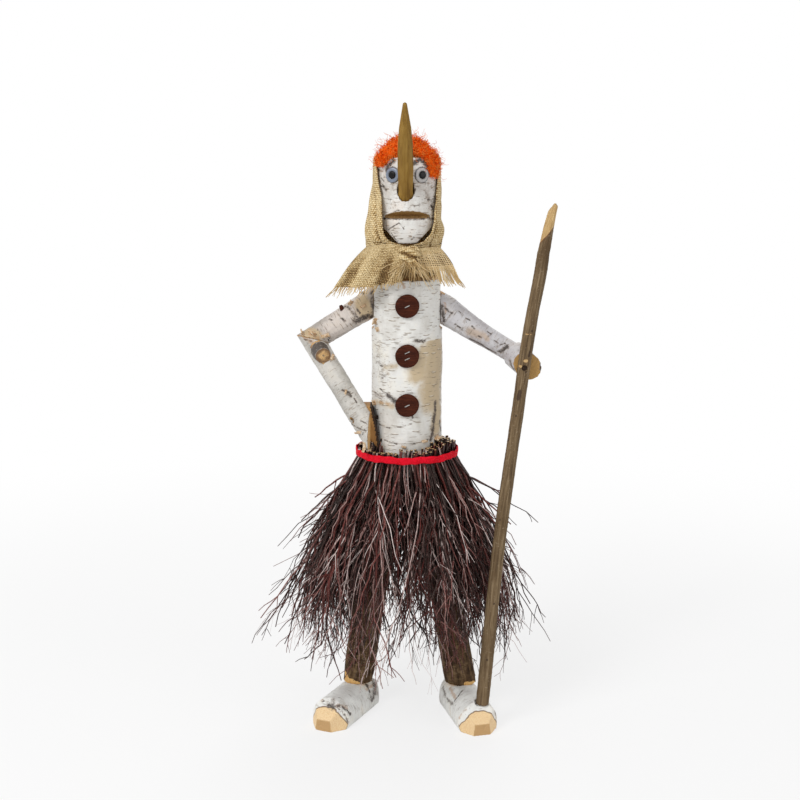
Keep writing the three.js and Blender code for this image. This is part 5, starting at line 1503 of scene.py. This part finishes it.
def tail_point(corners, u, v):
    """A point of a tail: u runs from the knot side to the outside, v from the top to the hem."""
    knot, shoulder, tip, hem = (np.array(corners[k], float) for k in ("knot", "shoulder", "tip", "hem"))
    u, v = np.asarray(u, float)[..., None], np.asarray(v, float)[..., None]
    upper = knot + (shoulder - knot) * u
    lower = hem + (tip - hem) * u
    place = upper + (lower - upper) * v
    fold = tail_fold(u, v)
    bulge = -corners["bulge"] * np.sin(math.pi * np.clip(0.12 + 0.88 * v, 0, 1)) ** 0.8
    bulge = bulge - 9 * np.sin(math.pi * np.clip(u, 0, 1)) * (1 - np.clip(v, 0, 1))
    bulge = bulge - fold * np.clip(1.3 * v, 0, 1.2) * (1 - 0.4 * u)
    lift = corners["arch"] * np.sin(math.pi * np.clip(u, 0, 1) ** 0.8) * (1 - v)
    lift = lift - 4 * np.sin(math.pi * u) * v + 5 * u * np.sin(math.pi * np.clip(v, 0, 1))
    return place + np.concatenate([np.zeros_like(bulge), bulge, lift], axis=-1)


def tail_piece(name, corners):
    """The woven part of a tail, with painted shade in its folds, beside the knot and under the open lattice.
    """
    u, v = np.meshgrid(np.linspace(0, 1, 60), np.linspace(0, corners["whole"], 44))
    points = tail_point(corners, u, v)
    wide = np.linalg.norm(np.subtract(corners["tip"], corners["hem"]))
    long = np.linalg.norm(np.subtract(corners["tip"], corners["shoulder"]))
    # Painted shade in the fold valleys, beside the knot and under the open lattice.
    valley = np.clip(0.3 - tail_fold(u, v) / 7, 0, 1) * np.clip(1.6 * v, 0, 1) * (1 - 0.6 * u)
    valley = valley + 0.9 * np.clip(0.34 - u, 0, 1) + corners["lattice_shade"] * smooth(v, 0.14, 0.3)
    flat = np.stack([u * wide, v * long], axis=2) * MM
    piece = grid_piece(name, in_head(points), flat, np.clip(valley, 0, 1))
    piece.data.materials.append(finishes["burlap"])
    thickened(piece, CLOTH * MM)
    return piece


tails = [tail_piece(f"headscarf_{side}_tail", corners) for side, corners in TAILS.items()]
under_chin = np.array([2, -75, HEAD_FLOOR - 14])
scarf_knot = lump("headscarf_knot", under_chin, (20, 10, 12), 4, 0.28, finishes["burlap"])
print("tails:", [round(cloth_area(t) * 1e4) for t in tails], "cm2")


# %% Fringe and open weave
def thread_finish():
    r = Recipe("burlap_thread")
    tone = r.attribute("tone")
    fuzz = r.noise(r.place(), 500, 3, 0.6)
    shade = r.calc("ADD", tone, r.swing(fuzz, 0.5))
    colour = r.ramp(shade, (0.0, (150, 118, 70)), (0.5, (200, 170, 118)), (1.0, (232, 210, 168)))
    return r.done(colour, 0.9, r.bump(fuzz, 0.0004, 0.7))


finishes["thread"] = thread_finish()
HEM_THREADS = {"right": 90, "left": 70}
OPEN_ACROSS, OPEN_DOWN = 11, 16  # threads each way of the left tail's open lattice
KNOT_THREADS = 60
COARSE = 1.6  # times the usual thickness, for every second thread at the left hem
threads = Paths()
for side, corners in TAILS.items():
    frayed = rng.uniform(0.06, 0.26, HEM_THREADS[side])
    for k, length in enumerate(frayed):
        u = (k + rng.uniform(0, 1)) / len(frayed)
        v = np.linspace(corners["whole"] - 0.03, 1 + length * (0.5 + 0.7 * u), 8)
        line = tail_point(corners, u + rng.normal(0, 0.03) * np.linspace(0, 1, 8), v)
        line[:, 1] -= 0.6
        coarse = COARSE if side == "left" and k % 2 else 1.0
        threads.add(in_head(line), np.array([0.7, 0.6, 0.4]) * coarse * MM, rng.uniform(0.2, 0.95))
for v in np.linspace(0.2, 0.76, OPEN_ACROSS):
    u = np.linspace(0.1 + 0.14 * rng.uniform(), 1.0, 22)
    line = tail_point(TAILS["left"], u, v + rng.normal(0, 0.006, 22))
    line[:, 1] -= 1.3
    threads.add(in_head(line), np.array([0.7, 0.75, 0.7]) * MM, rng.uniform(0.55, 1.0), 0.3)
for u in np.linspace(0.16, 0.98, OPEN_DOWN):
    v = np.linspace(0.14, 0.84, 18)
    line = tail_point(TAILS["left"], u + rng.normal(0, 0.005, 18), v)
    line[:, 1] -= 1.6
    threads.add(in_head(line), np.array([0.75, 0.7, 0.6]) * MM, rng.uniform(0.55, 1.0), 0.3)
for _ in range(KNOT_THREADS):
    way = rng.uniform(-0.9, 0.9)
    start = np.array([2 + 16 * way, -77 - rng.uniform(0, 5), -21 - rng.uniform(0, 8)])
    end = start + np.array([24 * way + rng.normal(0, 9), rng.normal(-2, 3), -rng.uniform(8, 42)])
    t = np.linspace(0, 1, 8)[:, None]
    line = start + (end - start) * t + np.array([0, -7, 0]) * np.sin(math.pi * t)
    threads.add(in_head(line), np.array([0.6, 0.5, 0.35]) * MM, rng.uniform(0.1, 1.0))
fringe = threads.swept("headscarf_fringe", finishes["thread"], 4, 0.006, 60, 5.0)
for piece in (hood, *tails, scarf_knot, fringe):
    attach(piece, "head")
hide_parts("headscarf")

# %% [markdown]
# ## Hair
# The hair is a bunch of orange fibre glued on behind the brow. Its mass is a soft core with the shape of the
# CAD roll, roughened, and its look comes from loose curls that spring out of it all over. Each curl is a
# short coil along a direction that leans outwards and up, swept with three sides.

# %% Hair core
def hair_finish(name, dark, mid, light):
    r = Recipe(name)
    co = r.place()
    fuzz = r.noise(co, 420, 4, 0.65)
    tone = r.weigh((fuzz, 0.7), (r.attribute("tone"), 0.4))
    colour = r.ramp(tone, (0.25, dark), (0.5, mid), (0.8, light))
    return r.done(colour, 0.8, r.bump(fuzz, 0.001, 0.8), specular_ior_level=0.1)


finishes["hair_core"] = hair_finish("hair_core", (190, 50, 0), (252, 94, 6), (255, 134, 34))
finishes["hair_curl"] = hair_finish("hair_curl", (220, 64, 0), (255, 110, 12), (255, 162, 78))
hair_core = remeshed("hair", "hair_core", 1.6 * MM)
END_LIFT = 13  # of the hair's end on the figure's right, in millimetres


def right_end_up(points):
    """The hair's end on the figure's right is drawn up, as it ends higher than the other."""
    lift = END_LIFT * MM * smooth(-(points[:, 0] - TORSO_AXIS[0] * MM), 0.018, 0.034)
    return points + np.array([0, 0, 1]) * lift[:, None] * smooth(points[:, 2:], 0.905, 0.87)


points, normals = right_end_up(points_of(hair_core.data)), normals_of(hair_core.data)
rough = 2.0 * lattice_noise(points * 150, 5) + 1.4 * lattice_noise(points * 380, 6) - 0.8
set_points(hair_core.data, points + normals * rough[:, None] * MM)
store(hair_core.data, "tone", 0.5 + 0.5 * lattice_noise(points * 90, 8))
hair_core.data.materials.append(finishes["hair_core"])
print("hair core:", len(hair_core.data.polygons), "faces")

# %% Curls
CURLS, CURL_POINTS = 1900, 12
WISPS = 0.15  # share of the curls that stand out long and thin
surface = nodes["hair"].data
surface.calc_loop_triangles()
corners = np.array([[surface.vertices[i].co for i in t.vertices] for t in surface.loop_triangles])
corners = right_end_up(corners.reshape(-1, 3)).reshape(-1, 3, 3)
facing = np.cross(corners[:, 1] - corners[:, 0], corners[:, 2] - corners[:, 0])
areas = np.linalg.norm(facing, axis=1)
facing /= np.maximum(areas, 1e-12)[:, None]
head_middle = at(0, 0, HEAD_FLOOR + 100)
curls = Paths()
picks = rng.choice(len(corners), CURLS, p=areas / areas.sum())
for k in picks:
    a, b = rng.uniform(0, 1, 2)
    a, b = (1 - a, 1 - b) if a + b > 1 else (a, b)
    root = corners[k, 0] + a * (corners[k, 1] - corners[k, 0]) + b * (corners[k, 2] - corners[k, 0])
    outwards = root - head_middle
    outwards /= np.linalg.norm(outwards)
    if facing[k] @ outwards < -0.2:
        continue
    way = facing[k] * 0.7 + outwards * 0.5 + rng.normal(0, 0.45, 3) + np.array([0, 0, 0.15])
    way /= np.linalg.norm(way)
    side = np.cross(way, rng.normal(size=3))
    side /= np.linalg.norm(side)
    other = np.cross(way, side)
    t = np.linspace(0, 1, CURL_POINTS)[:, None]
    wisp = rng.uniform() < WISPS
    coil = (rng.uniform(1.6, 3.6) if wisp else rng.uniform(0.9, 2.2)) * MM * (0.3 + 0.7 * t)
    phase = rng.uniform(0, 6.3) + rng.uniform(5, 11) * t
    length = (rng.uniform(9, 22) if wisp else rng.uniform(4, 9)) * MM
    line = root - way * 2 * MM + way * length * t
    line = line + coil * (side * np.cos(phase) + other * np.sin(phase))
    curls.add(line, np.array([0.5, 0.45, 0.3]) * (0.6 if wisp else 1.0) * MM, rng.uniform(0, 1))
hair_curls = curls.swept("hair_curls", finishes["hair_curl"], 3, 0.003, 120, 7.0)
for piece in (hair_core, hair_curls):
    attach(piece, "head")
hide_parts("hair")
print("hair:", len(curls.points), "curls,", len(hair_curls.data.polygons), "faces")

# %% [markdown]
# ## Eyes and buttons
# Both are turned shapes: a profile of radius and height goes once round an axis. The eyes are glossy craft
# eyes, a grey ring with a black dome. The buttons are slices of a dark stick, a little out of round, each
# held by a staple.

# %% Turned pieces
def turned_piece(name, profile, middle, way, finish, segments=56, wobble=0.0):
    """A profile of (radius, height) in millimetres turned about a direction from a point in metres."""
    up = Vector(way).normalized()
    turn = up.to_track_quat("Z", "Y").to_matrix().to_4x4()
    place = Matrix.Translation(Vector(middle)) @ turn
    edit = bmesh.new()
    rings = []
    for radius, height in profile:
        ring = []
        for k in range(segments):
            angle = 2 * math.pi * k / segments
            r = radius * (1 + wobble * math.sin(2 * angle + 0.7) + 0.6 * wobble * math.sin(5 * angle))
            point = Vector((r * math.cos(angle), r * math.sin(angle), height)) * MM
            ring.append(edit.verts.new(place @ point))
        rings.append(ring)
    for low, high in zip(rings, rings[1:]):
        for k in range(segments):
            n = (k + 1) % segments
            edit.faces.new((low[k], low[n], high[n], high[k]))
    edit.faces.new(list(reversed(rings[0])))
    edit.faces.new(rings[-1])
    bmesh.ops.recalc_face_normals(edit, faces=edit.faces)
    for face in edit.faces:
        face.smooth = len(face.verts) == 4
    mesh = bpy.data.meshes.new(name)
    edit.to_mesh(mesh)
    edit.free()
    points = points_of(mesh)
    flat = np.array(place.inverted()) @ np.vstack([points.T, np.ones(len(points))])
    store(mesh, "log", flat[:3].T.copy())
    mesh.materials.append(finish)
    return link(name, mesh)


print("turning tool ready")


# %% Eyes
def eye_finish(name, dark, light):
    r = Recipe(name)
    co = r.attribute("log", "Vector")
    reach = r.from_axis(co)
    cloud = r.noise(co, 160, 3)
    tone = r.calc("ADD", r.rise(reach, 0.005, 0.012), r.swing(cloud, 0.6))
    colour = r.ramp(tone, (0.05, dark), (0.5, light), (0.92, light), (1.0, (112, 112, 116)))
    return r.done(colour, 0.35, coat_weight=0.15, coat_roughness=0.15)


def pupil_finish():
    r = Recipe("pupil_plastic")
    speck = r.noise(r.attribute("log", "Vector"), 700, 2)
    colour = r.ramp(speck, (0.3, (6, 6, 7)), (0.7, (16, 15, 16)))
    return r.done(colour, 0.3, specular_ior_level=0.2)


finishes["pupil"] = pupil_finish()
HEAD_RADIUS, EYE_SPACING = 48, 45
EYE_SEAT, EYE_HEIGHT = 46, 105  # from the head's axis and above its underside
EYE_TURN = math.asin(EYE_SPACING / 2 / HEAD_RADIUS)
EYE_RING = [(11.2, 0.3), (12, 1.0), (12, 2.0), (11.4, 3.0), (10.2, 3.6), (8, 3.9), (6.2, 4.0), (5.8, 3.6),
            (5.8, 2.0)]
PUPIL = [(5.5, 2.3), (5.5, 4.4), (5.1, 4.9), (4.2, 5.2), (2.8, 5.38), (1.2, 5.42)]
EYES = {
    "right": (-1, eye_finish("eye_blue_grey", (94, 100, 112), (122, 132, 150))),
    # The left eye is the same plastic as the right; its warm grey tint is painted shade of the head's shaded
    # side.
    "left": (1, eye_finish("eye_grey_shade_side", (142, 138, 136), (182, 179, 177))),
}
for side, (sign, finish) in EYES.items():
    way = np.array([sign * math.sin(EYE_TURN), -math.cos(EYE_TURN), 0])
    seat = at(*(way * EYE_SEAT + np.array([0, 0, HEAD_FLOOR + EYE_HEIGHT])))
    ring = turned_piece(f"{side}_eye_ring", EYE_RING, seat, way, finish)
    pupil = turned_piece(f"{side}_eye_pupil", PUPIL, seat, way, finishes["pupil"])
    for piece, kind in ((ring, "eye"), (pupil, "pupil")):
        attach(piece, "head")
        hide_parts(f"{side}_{kind}")
print("eyes:", ", ".join(EYES))


# %% Buttons
def button_finish():
    r = Recipe("button_wood")
    co = r.attribute("log", "Vector")
    grain = r.noise(co, 1, 5, 0.65, (60, 620, 60))
    pores = r.noise(co, 700, 2)
    cloud = r.noise(co, 60, 3)
    tone = r.weigh((grain, 0.7), (cloud, 0.3))
    colour = r.ramp(tone, (0.34, (40, 15, 8)), (0.52, (64, 28, 16)), (0.7, (92, 46, 28)))
    colour = r.tint(colour, r.rise(pores, 0.62, 0.72), 0.3, (112, 60, 44))
    return r.done(colour, 0.75, r.bump(grain, 0.0006, 0.7), specular_ior_level=0.12)


finishes["button"] = button_finish()
BUTTON = [(17.4, 0.2), (18.3, 0.8), (18.6, 2.4), (18.2, 4.0), (17.2, 4.8), (15.6, 5.0), (8, 5.0), (2, 5.0)]
BUTTON_SEAT, TOP_BUTTON, BUTTON_STEP = -56.3, 681, 78  # depth of the backs, highest middle, and spacing
for row, name in enumerate(["button_top", "button_middle", "button_bottom"]):
    middle = at(0, BUTTON_SEAT, TOP_BUTTON - BUTTON_STEP * row)
    disc = turned_piece(name + "_slice", BUTTON, middle, (0, -1, 0), finishes["button"], 72, 0.012)
    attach(disc, "figure")
    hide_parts(name)
print("three buttons, 37 mm across")

# %% [markdown]
# ## Bark curls and a twig stub
# Dry birch paper peels and rolls up. A handful of small rolled strips stand at the torn edges. Each is a
# patch of points that leaves the log along its surface and then rolls outwards.

# %% Bark curls
def curl_finish():
    r = Recipe("bark_curl")
    co = r.place()
    cloud = r.noise(co, 200, 3)
    line = r.noise(co, 1, 3, 0.6, (120, 120, 900))
    tone = r.weigh((cloud, 0.5), (line, 0.5))
    colour = r.ramp(tone, (0.36, (150, 104, 66)), (0.5, (206, 176, 138)), (0.66, (232, 222, 206)))
    return r.done(colour, 0.7, r.bump(line, 0.0004, 0.6))


finishes["curl"] = curl_finish()
# Node, pixel, direction along the picture, width and length in millimetres, turns.
CURL_SPOTS = [
    ("torso", (377, 322), (-1, -0.2), 11, 13, 0.55), ("torso", (379, 329), (-1, 0.4), 8, 10, 0.6),
    ("torso", (436, 436), (0.7, 1), 12, 14, 0.5), ("torso", (424, 440), (0.1, 1), 9, 10, 0.5),
    ("torso", (376, 402), (-1, 0.3), 9, 12, 0.6), ("right_forearm", (359, 431), (0.2, 1), 9, 11, 0.5),
    ("right_forearm", (345, 392), (1, 0.2), 8, 9, 0.5),
    ("right_upper_arm", (314, 332), (-0.6, 1), 13, 14, 0.45),
    ("right_upper_arm", (363, 305), (0.5, 1), 10, 12, 0.45), ("torso", (404, 446), (-0.2, 1), 8, 8, 0.5),
    ("right_upper_arm", (325, 334), (0.3, 1), 14, 14, 0.5),
    ("right_upper_arm", (304, 333), (-1, 0.4), 11, 10, 0.5),
    ("right_forearm", (331, 356), (1, 0.5), 10, 11, 0.55),
    ("right_upper_arm", (352, 304), (-0.8, -0.6), 9, 10, 0.5),
    ("right_forearm", (364, 442), (-0.1, 1), 8, 17, 0.13),
]
CURL_ROWS, CURL_COLUMNS = 14, 7


def bark_curl(name, node, pixel, way, wide, long, turns):
    """A strip of bark that leaves a log at a pixel and rolls up by a number of turns."""
    spot = seen_on(node, *pixel)
    if spot is None:
        raise ValueError(f"{name}: {node} does not show at {pixel}")
    out = surface_of(node).find_nearest(spot)[1]
    run = Vector((way[0], 0, -way[1]))
    run = (run - out * run.dot(out)).normalized()
    side = run.cross(out)
    radius = long / (2 * math.pi * turns)
    rows = []
    for s in np.linspace(0, 1, CURL_ROWS):
        angle = 2 * math.pi * turns * s
        reach = radius * math.sin(angle) * MM
        lift = (radius * (1 - math.cos(angle)) + 0.25) * MM
        rows.append([
            spot + run * reach + out * lift + side * (w * wide * (1 - 0.35 * s * abs(w)) * MM)
            for w in np.linspace(-0.5, 0.5, CURL_COLUMNS) + 0.05 * math.sin(9 * s)
        ])
    u, v = np.meshgrid(np.linspace(0, wide, CURL_COLUMNS), np.linspace(0, long, CURL_ROWS))
    piece = grid_piece(name, [[tuple(p) for p in row] for row in rows], np.stack([u, v], axis=2) * MM)
    piece.data.materials.append(finishes["curl"])
    thickened(piece, 0.5 * MM)
    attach(piece, "figure")


for number, spot in enumerate(CURL_SPOTS):
    bark_curl(f"bark_curl_{number}", *spot)
STUB = [(3.4, -3), (3.2, 2), (2.9, 5), (2.6, 6.2), (1.2, 6.6)]
STUB_PIXEL, STUB_LEAN = (342, 309), (-0.3, -0.35, 1)
stub_spot = seen_on("right_upper_arm", *STUB_PIXEL)
stub = turned_piece("arm_twig_stub", STUB, stub_spot, STUB_LEAN, finishes["button"], 18, 0.06)
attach(stub, "figure")
print(len(CURL_SPOTS), "bark curls and a stub")

# %% [markdown]
# ## Pegs, screws, staples and wire
# These stay as the CAD nodes they are: their shapes are right, and little of them shows. They still get
# finishes with grain or scratches, on Object coordinates.

# %% Finishes for the CAD nodes
def peg_finish():
    r = Recipe("peg_wood")
    fibre = r.noise(r.place(), 1, 5, 0.6, (500, 500, 30))
    colour = r.ramp(fibre, (0.34, (176, 136, 88)), (0.52, (208, 174, 124)), (0.7, (226, 198, 152)))
    return r.done(colour, 0.7, r.bump(fibre, 0.0005, 0.6))


def steel_finish():
    r = Recipe("steel")
    scratch = r.noise(r.place(), 1, 4, 0.6, (1400, 1400, 200))
    stain = r.noise(r.place(), 300, 3)
    colour = r.ramp(scratch, (0.35, (140, 138, 134)), (0.65, (206, 205, 200)))
    colour = r.tint(colour, r.rise(stain, 0.56, 0.7), 0.4, (120, 92, 70))
    rough = r.add("MapRange", {"Value": scratch, "To Min": 0.25, "To Max": 0.5}).outputs["Result"]
    return r.done(colour, rough, r.bump(scratch, 0.0001, 0.4), metallic=0.9)


def rust_finish():
    r = Recipe("rusted_steel")
    scab = r.noise(r.place(), 500, 4, 0.65)
    # Rust darkened to the shade beside the hip block: partly rust, partly painted shade.
    colour = r.ramp(scab, (0.35, (30, 22, 16)), (0.55, (52, 38, 27)), (0.7, (80, 62, 46)))
    return r.done(colour, 0.85, r.bump(scab, 0.0004, 0.7), specular_ior_level=0.2)


finishes["peg"], finishes["steel"], finishes["rust"] = peg_finish(), steel_finish(), rust_finish()
for name, node in nodes.items():
    if not node.hide_render:
        finish = finishes["peg"] if name.endswith("_peg") else finishes["steel"]
        finish = finishes["rust"] if name.endswith("_screw") else finish
        for holder in node.material_slots:
            holder.material = finish
        print(name, "takes", finish.name)
